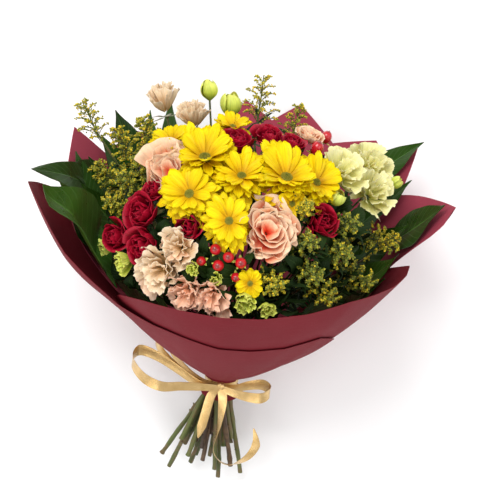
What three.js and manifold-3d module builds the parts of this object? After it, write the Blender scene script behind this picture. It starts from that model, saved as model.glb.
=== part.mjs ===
// A hand-tied mixed bouquet in a star-cornered paper wrap, lying on its back on a flat surface.
// Millimetres, +Z up, +Y from the cut stems towards the flowers. The origin is under the middle of its outline.
// Most places are given as they look from an eye straight above, and land on the dome that the flowers form.
import * as THREE from "three";
import { mergeVertices } from "three/addons/utils/BufferGeometryUtils.js";
import Module from "manifold-3d";

const wasm = await Module();
wasm.setup();
const { Manifold, Mesh: SolidMesh } = wasm;

const vec = (x, y, z) => new THREE.Vector3(x, y, z);
const radians = THREE.MathUtils.degToRad;
const lerp = THREE.MathUtils.lerp;
const UP = vec(0, 0, 1);

// The eye that the places are given for, and the height at which they are true to size
const EYE = vec(0, 0, 2400);
const SIGHT_HEIGHT = 200;

// The tie and the three directions of the bouquet: along its axis, towards its front, and to its right
const TIE = vec(-20, -152, 79);
const AXIS = vec(0.118, 0.876, 0.469).normalize();
const FRONT = UP.clone().addScaledVector(AXIS, -UP.dot(AXIS)).normalize();
const SIDE = AXIS.clone().cross(FRONT);

// From the middle of the outline on the floor to the point under the eye
const SHIFT = vec(-1.1, 48.9, 0);

// The dome of flowers, an ellipsoid about a point on the axis
const DOME_DISTANCE = 180;
const DOME_RADIUS = 168;
const DOME_HEIGHT = 142;
const DOME_CENTRE = TIE.clone().addScaledVector(AXIS, DOME_DISTANCE);

// The bowl of paper: a collar round the stems that opens along a curve
const COLLAR_RADIUS = 19;
const BOWL_SPREAD = 290;
const BOWL_CURVE = 200;
const COLLAR_FLARE_FROM = 10;
const COLLAR_LENGTH = 16;
const PAPER_THICKNESS = 0.7;
const PAPER_PITCH = [1.2, 2.7];
const LEAF_LAYER = 14.5;
const BLOOM_LAYER = 19;

// Stems
const STEM_RADIUS = 1.75;
const TWIG_RADIUS = 1.2;
const STEM_PITCH = 3.9;
const STEM_SPREAD = 0.043;
const SHEAF_LEAN = vec(0.17, 0.9, 0.4).normalize();
const SHEAF_FLATNESS = 0.5;
const CUT_LENGTHS = [84, 136];
const JUNCTION = 62;
const GAP = 0.6;
const SLIVER = 0.12;

// A seeded draw, the same on every run
function seeded(seed) {
  let state = seed >>> 0;
  return () => {
    state = (state + 0x6d2b79f5) >>> 0;
    let t = Math.imul(state ^ (state >>> 15), 1 | state);
    t = (t + Math.imul(t ^ (t >>> 7), 61 | t)) ^ t;
    return ((t ^ (t >>> 14)) >>> 0) / 4294967296;
  };
}

// The bouquet's own frame: angle round the axis from the front, distance past the tie, distance from the axis
const outward = (degrees) =>
  FRONT.clone()
    .multiplyScalar(Math.cos(radians(degrees)))
    .addScaledVector(SIDE, Math.sin(radians(degrees)));

function bowlRadius(along) {
  if (along > 0) return COLLAR_RADIUS + BOWL_SPREAD * (1 - Math.exp(-along / BOWL_CURVE));
  return COLLAR_RADIUS + 0.3 * Math.max(0, -along - COLLAR_FLARE_FROM);
}

function onBowl(degrees, along, inset, lowest) {
  const p = TIE.clone()
    .addScaledVector(AXIS, along)
    .addScaledVector(outward(degrees), bowlRadius(along) - inset);
  p.z = Math.max(p.z, lowest);
  return p;
}

// The direction straight into the bowl from its paper
function bowlInward(degrees, along) {
  const slope = (BOWL_SPREAD / BOWL_CURVE) * Math.exp(-Math.max(0, along) / BOWL_CURVE);
  return outward(degrees).negate().addScaledVector(AXIS, slope).normalize();
}

// Where the line of sight through a place meets the dome, or passes nearest to it
function onDome(x, y) {
  const sight = vec(x, y, SIGHT_HEIGHT).sub(EYE).normalize();
  const start = EYE.clone().sub(DOME_CENTRE);
  const squash = (v) => {
    const along = v.dot(AXIS);
    const rest = v.clone().addScaledVector(AXIS, -along);
    return rest.divideScalar(DOME_RADIUS).addScaledVector(AXIS, along / DOME_HEIGHT);
  };
  const s = squash(start);
  const d = squash(sight);
  const a = d.dot(d);
  const b = s.dot(d);
  const c = s.dot(s) - 1;
  const root = Math.sqrt(Math.max(0, b * b - a * c));
  const point = EYE.clone().addScaledVector(sight, (-b - root) / a);
  const from = point.clone().sub(DOME_CENTRE);
  const along = from.dot(AXIS);
  const normal = from
    .addScaledVector(AXIS, -along)
    .divideScalar(DOME_RADIUS ** 2)
    .addScaledVector(AXIS, along / DOME_HEIGHT ** 2)
    .normalize();
  return { point, normal };
}

// Solids from three.js geometry

function solidOf(geometry) {
  const bare = new THREE.BufferGeometry().setAttribute("position", geometry.getAttribute("position"));
  if (geometry.index) bare.setIndex(geometry.index);
  const merged = mergeVertices(bare, 1e-4);
  const vertProperties = new Float32Array(merged.attributes.position.array);
  const triVerts = new Uint32Array(merged.index.array);
  const solid = new Manifold(new SolidMesh({ numProp: 3, vertProperties, triVerts }));
  if (solid.volume() > 0) return solid;
  return new Manifold(new SolidMesh({ numProp: 3, vertProperties, triVerts: triVerts.reverse() }));
}

function geometryOf(solid) {
  const mesh = solid.getMesh();
  const count = mesh.vertProperties.length / mesh.numProp;
  const positions = new Float32Array(count * 3);
  for (let i = 0; i < count; i++) {
    positions.set(mesh.vertProperties.subarray(i * mesh.numProp, i * mesh.numProp + 3), i * 3);
  }
  return new THREE.BufferGeometry()
    .setAttribute("position", new THREE.BufferAttribute(positions, 3))
    .setIndex(new THREE.BufferAttribute(new Uint32Array(mesh.triVerts), 1));
}

// One body from several: what holds together with the largest piece
function fuse(solids) {
  const whole = Manifold.union(solids.filter((s) => !s.isEmpty())).simplify(SLIVER);
  const pieces = whole.decompose();
  return pieces.reduce((a, b) => (b.volume() > a.volume() ? b : a));
}

function closedMesh(points, triangles) {
  return new THREE.BufferGeometry()
    .setAttribute("position", new THREE.Float32BufferAttribute(points.flatMap((p) => p.toArray()), 3))
    .setIndex(triangles.flat());
}

// A thin closed sheet about a grid of points, rows of equal length, split into triangles alike on both faces
function sheetGeometry(rows, thickness) {
  const m = rows.length;
  const n = rows[0].length;
  const at = (i, j) => rows[THREE.MathUtils.clamp(i, 0, m - 1)][THREE.MathUtils.clamp(j, 0, n - 1)];
  const top = [];
  const bottom = [];
  rows.forEach((row, i) =>
    row.forEach((p, j) => {
      const down = at(i + 1, j).clone().sub(at(i - 1, j));
      const across = at(i, j + 1).clone().sub(at(i, j - 1));
      const normal = across.cross(down).normalize();
      top.push(p.clone().addScaledVector(normal, thickness / 2));
      bottom.push(p.clone().addScaledVector(normal, -thickness / 2));
    }),
  );
  const size = m * n;
  const triangles = [];
  for (let i = 0; i < m - 1; i++) {
    for (let j = 0; j < n - 1; j++) {
      const [a, b, c, d] = [i * n + j, i * n + j + 1, (i + 1) * n + j + 1, (i + 1) * n + j];
      const halves = (i + j) % 2 ? [[a, b, c], [a, c, d]] : [[a, b, d], [b, c, d]];
      for (const [u, v, w] of halves) triangles.push([u, v, w], [u + size, w + size, v + size]);
    }
  }
  const border = [];
  for (let j = 0; j < n - 1; j++) border.push(j);
  for (let i = 0; i < m - 1; i++) border.push(i * n + n - 1);
  for (let j = n - 1; j > 0; j--) border.push((m - 1) * n + j);
  for (let i = m - 1; i > 0; i--) border.push(i * n);
  border.forEach((a, k) => {
    const b = border[(k + 1) % border.length];
    triangles.push([a, a + size, b], [b, a + size, b + size]);
  });
  return closedMesh([...top, ...bottom], triangles);
}

// A petal or leaf with a knife edge: an outline that both faces share, thick only in its middle
function pillowGeometry(outline, middle, lift) {
  const n = outline.length;
  const triangles = [];
  outline.forEach((_, k) => {
    const next = (k + 1) % n;
    triangles.push([k, next, n], [next, k, n + 1]);
  });
  return closedMesh([...outline, middle.clone().add(lift), middle.clone().sub(lift)], triangles);
}

// A rod of a few sides whose bends are at the given points; the radius may differ from point to point
function rodGeometry(points, radius, sides) {
  const radii = Array.isArray(radius) ? radius : points.map(() => radius);
  const last = points.length - 1;
  const rings = [];
  const triangles = [];
  let side = vec(0.36, 0.48, 0.8);
  points.forEach((p, i) => {
    const onwards = points[Math.min(i + 1, last)].clone().sub(points[Math.max(i - 1, 0)]).normalize();
    side = side.clone().addScaledVector(onwards, -side.dot(onwards)).normalize();
    for (let k = 0; k < sides; k++) {
      const turned = side.clone().applyAxisAngle(onwards, (k * 2 * Math.PI) / sides);
      rings.push(p.clone().addScaledVector(turned, radii[i]));
    }
  });
  for (let i = 0; i < last; i++) {
    for (let k = 0; k < sides; k++) {
      const [here, next] = [i * sides + k, i * sides + ((k + 1) % sides)];
      triangles.push([here, next, next + sides], [here, next + sides, here + sides]);
    }
  }
  for (let k = 1; k < sides - 1; k++) {
    triangles.push([0, k + 1, k], [last * sides, last * sides + k, last * sides + k + 1]);
  }
  return closedMesh(rings, triangles);
}

const rod = (points, radius, sides) => solidOf(rodGeometry(points, radius, sides));

// A ball of few faces, stretched along one direction
function bead(centre, radius, along, length, detail = [5, 3]) {
  const g = new THREE.SphereGeometry(1, ...detail);
  g.rotateX(Math.PI / 2);
  const turn = new THREE.Quaternion().setFromUnitVectors(UP, along.clone().normalize());
  g.applyMatrix4(new THREE.Matrix4().compose(centre, turn, vec(radius, radius, length / 2)));
  return solidOf(g);
}

// What stands on the dome. Each head: kind, place as seen from above, radius, how far it turns towards the
// axis, how far it stands out, and the spray that carries it.
const head = (name, kind, x, y, radius, turn, out, spray) => ({ name, kind, x, y, radius, turn, out, spray });
const HEADS = [
  head("chrysanthemum_1", "daisy", -55, 50, 31, 0.1, 6, "chrysanthemum_stem_1"),
  head("chrysanthemum_2", "daisy", -12, 21, 27, 0, 4, "chrysanthemum_stem_2"),
  head("chrysanthemum_3", "daisy", -38, 92, 38, 0.6, 6, "chrysanthemum_stem_1"),
  head("chrysanthemum_4", "daisy", -76, 112, 22, 0.4, 0, "chrysanthemum_stem_1"),
  head("chrysanthemum_5", "daisy", 2, 73, 30, 0.4, 2, "chrysanthemum_stem_2"),
  head("chrysanthemum_6", "daisy", 51, 70, 41, 0.6, 6, "chrysanthemum_stem_3"),
  head("chrysanthemum_7", "daisy", 86, 66, 30, 0.3, 0, "chrysanthemum_stem_3"),
  head("chrysanthemum_8", "daisy", 60, 42, 17, -0.3, -4, "chrysanthemum_stem_3"),
  head("chrysanthemum_9", "daisy", 12, -52, 15, -0.1, -10, "chrysanthemum_stem_2"),
  head("chrysanthemum_10", "daisy", -8, 128, 19, 0.5, 0, "chrysanthemum_stem_1"),
  head("rose_1", "rose", -112, 32, 20, 0, 2, "rose_stem_1"),
  head("rose_2", "rose", -99, 59, 14, 0.1, -4, "rose_stem_1"),
  head("rose_3", "rose", -142, 4, 17, 0, 0, "rose_stem_1"),
  head("rose_4", "rose", -112, -9, 20, -0.1, 0, "rose_stem_1"),
  head("rose_5", "rose", -60, 14, 18, 0, 0, "rose_stem_1"),
  head("rose_6", "rose", -4, 111, 20, 0.3, 4, "rose_stem_2"),
  head("rose_7", "rose", 34, 116, 17, 0.3, 2, "rose_stem_2"),
  head("rose_8", "rose", 58, 110, 15, 0.3, 0, "rose_stem_2"),
  head("rose_9", "rose", 97, 22, 20, 0, -6, "rose_stem_3"),
  head("garden_rose_1", "garden", 33, 10, 41, 0, 4, "garden_rose_stem_1"),
  head("garden_rose_2", "garden", -80, 80, 36, 0.2, 0, "garden_rose_stem_2"),
  head("garden_rose_3", "garden", 78, 119, 14, 0.3, 0, "garden_rose_stem_3"),
  head("lisianthus_1", "lisianthus", -92, -36, 26, -0.1, 2, "lisianthus_stem_1"),
  head("lisianthus_2", "lisianthus", -70, -8, 23, 0, 0, "lisianthus_stem_1"),
  head("lisianthus_3", "lisianthus", -62, -61, 22, -0.1, 0, "lisianthus_stem_1"),
  head("lisianthus_4", "lisianthus", -33, -65, 21, -0.1, -3, "lisianthus_stem_1"),
  head("lisianthus_5", "lisianthus", -83, 152, 20, 0.6, 4, "lisianthus_stem_2"),
  head("lisianthus_6", "lisianthus", -52, 136, 19, 0.5, 2, "lisianthus_stem_2"),
  head("lisianthus_7", "lisianthus", 115, 77, 24, 0.2, 2, "lisianthus_stem_3"),
  head("lisianthus_8", "lisianthus", 147, 86, 24, 0.3, 0, "lisianthus_stem_3"),
  head("lisianthus_9", "lisianthus", 150, 53, 24, 0.1, 2, "lisianthus_stem_3"),
  head("bud_1", "bud", -33, 166, 10, 0.7, 8, "lisianthus_stem_2"),
  head("bud_2", "bud", -10, 155, 12, 0.6, 4, "lisianthus_stem_2"),
  head("bud_3", "bud", -155, -10, 9, -0.2, 0, "lisianthus_stem_1"),
  head("bud_4", "bud", -136, -29, 11, -0.2, 0, "lisianthus_stem_1"),
  head("bud_5", "bud", -52, -32, 7, 0, 4, "lisianthus_stem_1"),
  head("bud_6", "bud", -27, -46, 8, 0, 2, "lisianthus_stem_1"),
  head("bud_7", "bud", 6, -73, 11, -0.1, 0, "chrysanthemum_stem_2"),
  head("bud_8", "bud", 31, -80, 8, -0.1, 0, "chrysanthemum_stem_2"),
  head("bud_9", "bud", 172, 65, 7, 0.2, 4, "lisianthus_stem_3"),
  head("bud_10", "bud", 109, 49, 9, 0.1, 2, "chrysanthemum_stem_3"),
  head("berry_1", "berry", -28, -10, 6, 0, 0, "berry_stem_1"),
  head("berry_2", "berry", -13, -19, 6, 0, 2, "berry_stem_1"),
  head("berry_3", "berry", -25, -29, 6, 0, 0, "berry_stem_1"),
  head("berry_4", "berry", 1, -26, 6, 0, 0, "berry_stem_1"),
  head("berry_5", "berry", -45, -24, 5, 0, -2, "berry_stem_1"),
  head("berry_6", "berry", -5, -44, 5, 0, -6, "berry_stem_1"),
  head("berry_7", "berry", 87, 106, 7, 0.3, 2, "berry_stem_2"),
  head("berry_8", "berry", 96, 116, 6, 0.3, 4, "berry_stem_2"),
  head("plume_1", "plume", -168, 146, 20, 0.7, 8, "goldenrod_1"),
  head("plume_2", "plume", -134, 118, 22, 0.4, 6, "goldenrod_1"),
  head("plume_3", "plume", -158, 82, 22, 0.2, 2, "goldenrod_2"),
  head("plume_4", "plume", -130, 70, 20, 0.1, 2, "goldenrod_2"),
  head("plume_5", "plume", -146, 42, 20, 0, 2, "goldenrod_2"),
  head("plume_6", "plume", -106, 130, 20, 0.4, 4, "goldenrod_1"),
  head("plume_7", "plume", -112, 92, 19, 0.2, 2, "goldenrod_2"),
  head("plume_8", "plume", 24, 166, 23, 0.8, 14, "goldenrod_3"),
  head("plume_9", "plume", 66, 146, 20, 0.6, 2, "goldenrod_3"),
  head("plume_10", "plume", 78, -2, 20, 0, 6, "goldenrod_4"),
  head("plume_11", "plume", 72, 36, 14, 0, 8, "goldenrod_4"),
  head("plume_12", "plume", 125, 20, 22, 0, 4, "goldenrod_5"),
  head("plume_13", "plume", 118, -14, 20, 0, 4, "goldenrod_5"),
  head("plume_14", "plume", 168, -2, 24, -0.1, 6, "goldenrod_5"),
  head("plume_15", "plume", 40, -50, 22, 0, 4, "goldenrod_6"),
  head("plume_16", "plume", 84, -40, 20, 0, 4, "goldenrod_4"),
  head("plume_17", "plume", 100, -64, 22, -0.1, 4, "goldenrod_6"),
  head("plume_18", "plume", 142, -48, 22, -0.1, 4, "goldenrod_5"),
  head("leaflet_1", "leaflet", -82, 18, 13, 0, 0, "leafy_stem_1"),
  head("leaflet_2", "leaflet", -38, -9, 13, 0, 0, "leafy_stem_1"),
  head("leaflet_3", "leaflet", 15, -20, 13, 0, 0, "leafy_stem_2"),
  head("leaflet_4", "leaflet", 62, -26, 17, 0, 0, "leafy_stem_2"),
  head("leaflet_5", "leaflet", 82, 94, 12, 0.2, 0, "leafy_stem_2"),
  head("leaflet_6", "leaflet", 104, -30, 17, 0, -2, "leafy_stem_2"),
];

// How far some heads turn from the way they stand towards the eye
const GAZE = {
  lisianthus_7: 0.7,
  lisianthus_8: 1.1,
  lisianthus_9: 0.9,
  rose_9: 0.5,
  rose_3: 0.4,
  garden_rose_2: 0.5,
  chrysanthemum_7: 0.3,
  chrysanthemum_1: 0.3,
};

const DEPTH = { daisy: 0.35, rose: 1.15, garden: 0.9, lisianthus: 1.0, bud: 2.0, berry: 2.0, plume: 1.8, leaflet: 2.2 };

// Each head gets its seat, the way it faces, and the direction in which it is seen from the tie
const APEX = TIE.clone().addScaledVector(AXIS, 12);
for (const h of HEADS) {
  const { point, normal } = onDome(h.x, h.y);
  h.facing = normal.clone().addScaledVector(AXIS, h.turn).addScaledVector(UP, GAZE[h.name] ?? 0).normalize();
  h.crown = point.clone().addScaledVector(normal, h.out);
  h.seat = h.crown.clone().addScaledVector(h.facing, -h.radius * DEPTH[h.kind]);
  h.middle = h.crown.clone().lerp(h.seat, 0.5);
  h.bearing = h.middle.clone().sub(APEX).normalize();
  const spin = seeded(h.name.length * 977 + Math.round(h.x * 31 + h.y * 17 + 50000));
  h.draw = spin;
  h.turned = new THREE.Quaternion().setFromUnitVectors(UP, h.facing);
}

// The planes through the apex that part a head from each of the others
for (const h of HEADS) {
  h.walls = HEADS.filter((o) => o !== h && o.bearing.angleTo(h.bearing) < 1.2).map((o) => {
    const share = h.radius / (h.radius + o.radius);
    const across = h.bearing.clone().cross(o.bearing).normalize();
    const angle = h.bearing.angleTo(o.bearing) * share;
    const edge = h.bearing.clone().applyAxisAngle(across, angle);
    return across.cross(edge);
  });
}

function isClear(head, point) {
  for (const [a, b, radius] of head.stems ?? []) {
    const span = b.clone().sub(a);
    const t = THREE.MathUtils.clamp(point.clone().sub(a).dot(span) / span.dot(span), 0, 1);
    if (a.clone().addScaledVector(span, t).distanceTo(point) < radius) return false;
  }
  const p = point.clone().sub(APEX);
  if (head.walls.some((normal) => p.dot(normal) > -GAP / 2)) return false;
  const q = point.clone().sub(TIE);
  const along = q.dot(AXIS);
  const away = q.addScaledVector(AXIS, -along).length();
  return point.z > BLOOM_LAYER && away < bowlRadius(along) - BLOOM_LAYER;
}

// The largest of a set of scales at which a thing's points all stay in the head's own room
function fitted(head, make, toWorld, scales = [1.16, 1.08, 1, 0.92, 0.84, 0.76, 0.68, 0.6, 0.52, 0.44]) {
  for (const scale of scales) {
    const made = make(scale);
    const points = made.getAttribute("position");
    let clear = true;
    const corner = (i) => vec().fromBufferAttribute(points, i).applyMatrix4(toWorld);
    for (let i = 0; i < points.count && clear; i++) clear = isClear(head, corner(i));
    const index = made.index?.array ?? [];
    for (let i = 0; i < index.length && clear; i++) {
      const next = i % 3 === 2 ? i - 2 : i + 1;
      clear = isClear(head, corner(index[i]).lerp(corner(index[next]), 0.5));
    }
    if (clear) return made;
  }
  return null;
}

const frameOf = (h) => new THREE.Matrix4().compose(h.seat, h.turned, vec(1, 1, 1));

// Blooms, each about its own seat with +Z the way it faces

// A petal on a cup round the flower's middle. Its places are given as shares of its breadth, its run up the cup
// and its distance from the middle. One side stands further out than the other, so that neighbours overlap.
function petalGeometry({ angle, breadth, steps, twist, thick }) {
  const at = (side, { up, out, wide }) => {
    const turn = angle + side * wide * breadth;
    const away = out * (1 + side * twist);
    return vec(away * Math.cos(turn), away * Math.sin(turn), up);
  };
  const [root, belly, brim] = steps;
  const outline = [
    at(0, root),
    at(1, belly),
    at(1, brim),
    at(0, { ...brim, up: brim.up + brim.point, out: brim.out * 1.04 }),
    at(-1, brim),
    at(-1, belly),
  ];
  const middle = at(0, { ...belly, out: belly.out * 1.03 });
  const lift = at(0, belly)
    .setZ(-belly.out * 0.25)
    .setLength(thick / 2);
  return pillowGeometry(outline, middle, lift);
}

// A round of petals; those that would cross into a neighbour's room are drawn in
function roundOfPetals(h, { count, start, spread, root, belly, brim, twist = 0.1, thick = 1.5 }) {
  const petals = [];
  for (let k = 0; k < count; k++) {
    const angle = start + (2 * Math.PI * (k + 0.16 * (h.draw() - 0.5))) / count;
    const tall = 0.94 + 0.12 * h.draw();
    const breadth = (Math.PI / count) * spread;
    const grow = (step, scale) => ({
      ...step,
      up: root.up + (step.up - root.up) * scale * tall,
      out: root.out + (step.out - root.out) * scale,
      point: (step.point ?? 0) * scale,
    });
    const made = fitted(
      h,
      (scale) =>
        petalGeometry({ angle, breadth, twist, thick, steps: [grow(root, 1), grow(belly, scale), grow(brim, scale)] }),
      frameOf(h),
    );
    if (made) petals.push(solidOf(made));
  }
  return petals;
}

function turnedSolid(profile, sides) {
  const points = profile.map(([out, up]) => new THREE.Vector2(out, up));
  return solidOf(new THREE.LatheGeometry(points, sides).rotateX(Math.PI / 2));
}

// A chrysanthemum: a low green disc in a ring of narrow petals, every second one raised. The more it turns
// towards the axis, the more its petals stand up.
const CUPPING = 24;

function daisy(h) {
  const disc = h.radius * 0.25;
  const count = h.radius > 24 ? 12 : 9;
  const start = h.draw() * 6;
  const parts = [turnedSolid([[0, 0.3], [disc, 0.3], [disc * 0.85, disc * 0.75], [0, disc]], 7)];
  for (let k = 0; k < count; k++) {
    const raised = k % 2;
    const angle = start + (2 * Math.PI * (k + 0.2 * (h.draw() - 0.5))) / count;
    const length = (h.radius * 1.04 - disc * 0.6) * (raised ? 0.92 : 1) * (0.94 + 0.1 * h.draw());
    const slope = radians((raised ? 27 : 9) + 6 * h.draw() + CUPPING * Math.max(0, h.turn));
    const half = (Math.PI * h.radius * 0.62) / count;
    const out = vec(Math.cos(angle), Math.sin(angle), 0);
    const across = vec(-Math.sin(angle), Math.cos(angle), 0);
    const spot = (share, side, wide, scale) => {
      const run = length * share * scale;
      return out
        .clone()
        .multiplyScalar(disc * 0.6 + Math.cos(slope) * run)
        .addScaledVector(across, side * half * wide * (0.4 + 0.6 * scale))
        .setZ(disc * (raised ? 0.62 : 0.4) + Math.sin(slope) * run - share * run * 0.1);
    };
    const made = fitted(
      h,
      (scale) => {
        const edge = [[0, 0, 0], [0.6, 1, 1], [0.97, 1, 0.55], [0.97, -1, 0.55], [0.6, -1, 1]];
        const outline = edge.map(([share, side, wide]) => spot(share, side, wide, scale));
        return pillowGeometry(outline, spot(0.5, 0, 0, scale).add(vec(0, 0, -0.5)), vec(0, 0, 0.75));
      },
      frameOf(h),
    );
    if (made) parts.push(solidOf(made));
  }
  return fuse(parts);
}

// A spray rose: a wound heart in two rounds of petals that open outwards
function rose(h) {
  const r = h.radius;
  const start = h.draw() * 6;
  const heart = [[0, 0.3], [r * 0.34, 0.3], [r * 0.42, r * 0.6], [r * 0.16, r * 1.12], [0, r * 1.12]];
  const inner = roundOfPetals(h, {
    count: 3,
    start,
    spread: 0.97,
    twist: 0.1,
    root: { up: r * 0.2, out: r * 0.28, wide: 0.7 },
    belly: { up: r * 0.65, out: r * 0.58, wide: 1 },
    brim: { up: r * 1.12, out: r * 0.54, wide: 0.7, point: r * 0.05 },
  });
  const outer = roundOfPetals(h, {
    count: 5,
    start: start + 0.5,
    spread: 0.98,
    twist: 0.07,
    root: { up: r * 0.12, out: r * 0.26, wide: 0.6 },
    belly: { up: r * 0.5, out: r * 0.8, wide: 1 },
    brim: { up: r * 0.92, out: r * 1.02, wide: 0.8, point: -r * 0.06 },
  });
  return fuse([turnedSolid(heart, 5), ...inner, ...outer]);
}

// A garden rose, full of petals in rounds about a folded middle
function gardenRose(h) {
  const r = h.radius;
  const start = h.draw() * 6;
  const counts = r < 20 ? [3, 5] : [4, 6, 7];
  const heart = [[0, 0.3], [r * 0.3, 0.3], [r * 0.24, r * 0.6], [0, r * 0.72]];
  const parts = [turnedSolid(heart, 5)];
  counts.forEach((count, round) => {
    const share = (round + 0.4) / (counts.length - 0.6);
    parts.push(
      ...roundOfPetals(h, {
        count,
        start: start + round * 0.7,
        spread: 0.97,
        twist: 0.07,
        root: { up: r * lerp(0.3, 0.12, share), out: r * lerp(0.08, 0.14, share), wide: 0.6 },
        belly: { up: r * lerp(0.62, 0.4, share), out: r * lerp(0.26, 0.72, share), wide: 1 },
        brim: { up: r * lerp(0.92, 0.66, share), out: r * lerp(0.3, 1.04, share), wide: 0.85, point: r * 0.04 },
      }),
    );
  });
  return fuse(parts);
}

// A lisianthus: a loose cup of broad petals whose brims stand apart and wave
function lisianthus(h) {
  const r = h.radius;
  const start = h.draw() * 6;
  const inner = roundOfPetals(h, {
    count: 4,
    start: start + 0.5,
    spread: 0.95,
    twist: 0.12,
    root: { up: r * 0.3, out: r * 0.14, wide: 0.6 },
    belly: { up: r * 0.7, out: r * 0.36, wide: 0.9 },
    brim: { up: r * 1.05, out: r * 0.5, wide: 0.9, point: -r * 0.1 },
  });
  const outer = roundOfPetals(h, {
    count: 5,
    start,
    spread: 0.98,
    twist: 0.09,
    root: { up: r * 0.14, out: r * 0.22, wide: 0.6 },
    belly: { up: r * 0.62, out: r * 0.64, wide: 0.9 },
    brim: { up: r * 0.92, out: r * 1.06, wide: 0.9, point: r * 0.12 },
  });
  return fuse([turnedSolid([[0, 0.3], [r * 0.3, 0.3], [r * 0.28, r * 0.42], [0, r * 0.5]], 5), ...inner, ...outer]);
}

const BLOOMS = { daisy, rose, garden: gardenRose, lisianthus };
const PAINT = {
  daisy: { color: 0xf7d60a, roughness: 0.6 },
  rose: { color: 0x9c0a20, roughness: 0.55 },
  garden: { color: 0xf3b18c, roughness: 0.6 },
  lisianthus: { color: 0xe0b48c, roughness: 0.65 },
  cream: { color: 0xe4e0a2, roughness: 0.65 },
  green: { color: 0x4d6b28, roughness: 0.6 },
  goldenrod: { color: 0x9a9a2c, roughness: 0.75 },
  leaf: { color: 0x23491c, roughness: 0.4 },
  berry: { color: 0xb01820, roughness: 0.3 },
  paper: { color: 0x8e2b40, roughness: 0.8 },
  ribbon: { color: 0xd0a862, roughness: 0.35 },
  twine: { color: 0xb59a6a, roughness: 0.9 },
};

const bouquet = new THREE.Group();

function place(name, solid, paint) {
  const mesh = new THREE.Mesh(geometryOf(solid), new THREE.MeshStandardMaterial({ metalness: 0, ...PAINT[paint] }));
  mesh.name = name;
  bouquet.add(mesh);
  return mesh;
}

// Large leaves, each along the inside of the bowl from its foot to its tip, both as [angle, distance]
const leaf = (spray, foot, tip, width, layer = 0) => ({ spray, foot, tip, width, layer });
const LEAVES = [
  leaf("leafy_stem_1", [243, 178], [266, 230], 34),
  leaf("leafy_stem_1", [226, 188], [231, 250], 28),
  leaf("leafy_stem_1", [275, 142], [290, 256], 48),
  leaf("leafy_stem_1", [264, 92], [286, 132], 32),
  leaf("leafy_stem_2", [137, 192], [119, 274], 32),
  leaf("leafy_stem_2", [124, 168], [115, 234], 18),
  leaf("leafy_stem_2", [104, 168], [84, 262], 40),
];
const LEAF_SHARES = [0, 0.22, 0.5, 0.8, 1];
const LEAF_WIDTHS = [0.1, 0.8, 1, 0.6, 0.05];

function leafSolid({ foot, tip, width, layer }) {
  const spotAt = (t) => [lerp(foot[0], tip[0], t), lerp(foot[1], tip[1], t)];
  const inset = LEAF_LAYER + layer;
  const rows = LEAF_SHARES.map((t, i) => {
    const [degrees, along] = spotAt(t);
    const spot = onBowl(degrees, along, inset, inset);
    const [d0, a0] = spotAt(t - 0.05);
    const [d1, a1] = spotAt(t + 0.05);
    const forward = onBowl(d1, a1, inset, 0).sub(onBowl(d0, a0, inset, 0)).normalize();
    const inward = bowlInward(degrees, along);
    const across = forward.clone().cross(inward).normalize();
    const half = (width * LEAF_WIDTHS[i]) / 2;
    return [-1, 0, 1].map((k) =>
      spot
        .clone()
        .addScaledVector(across, k * half)
        .addScaledVector(inward, Math.abs(k) * half * 0.1),
    );
  });
  return { solid: solidOf(sheetGeometry(rows, 0.8)), foot: rows[0][1].clone().lerp(rows[1][1], 0.15) };
}

// The paper: four sheets, each a row of columns [angle, distance of the rim], the later ones further out
const PAPER_ROWS = [-COLLAR_LENGTH, -COLLAR_FLARE_FROM, 0, 22, 58, 108, 168];
const SKIRT_LIFT = 2.4;
const SKIRT_START = -3;
const RIM_STEP = 1.5;
const WRAP = [
  {
    name: "wrap_back_left",
    layer: 3,
    rim: [[184, 150], [197, 196], [210, 206], [224, 221], [237, 204], [250, 250], [262, 224], [275, 214], [289, 190]],
  },
  {
    name: "wrap_back_right",
    layer: 2,
    rim: [
      [62, 112], [84, 126], [96, 142], [98, 270], [108, 238], [119, 208], [123, 258], [131, 226],
      [139, 242], [153, 222], [167, 252], [175, 228], [184, 246], [197, 200],
    ],
  },
  {
    name: "wrap_front_right",
    layer: 1,
    rim: [
      [-71, 70], [-60, 120], [-46, 150], [-31, 170], [-17, 177], [-3, 180], [10, 183], [24, 192], [37, 205],
      [50, 198], [62, 190], [74, 186], [82, 184], [91, 165], [99, 148], [101, 110],
    ],
  },
  {
    name: "wrap_front_left",
    layer: 0,
    rim: [
      [237, 130], [250, 160], [262, 190], [275, 222], [289, 252], [300, 186], [314, 138], [329, 128], [343, 126],
      [357, 119], [370, 117], [384, 124], [397, 138], [410, 120],
    ],
  },
];
const CORNER_ANGLE = 289;
const CORNER_FLARE = 20;
// The back sheet's right-hand point leans forward
const SPIKE_FROM = 96;
const SPIKE_TO = 119;
const SPIKE_LEAN = 20;

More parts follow.
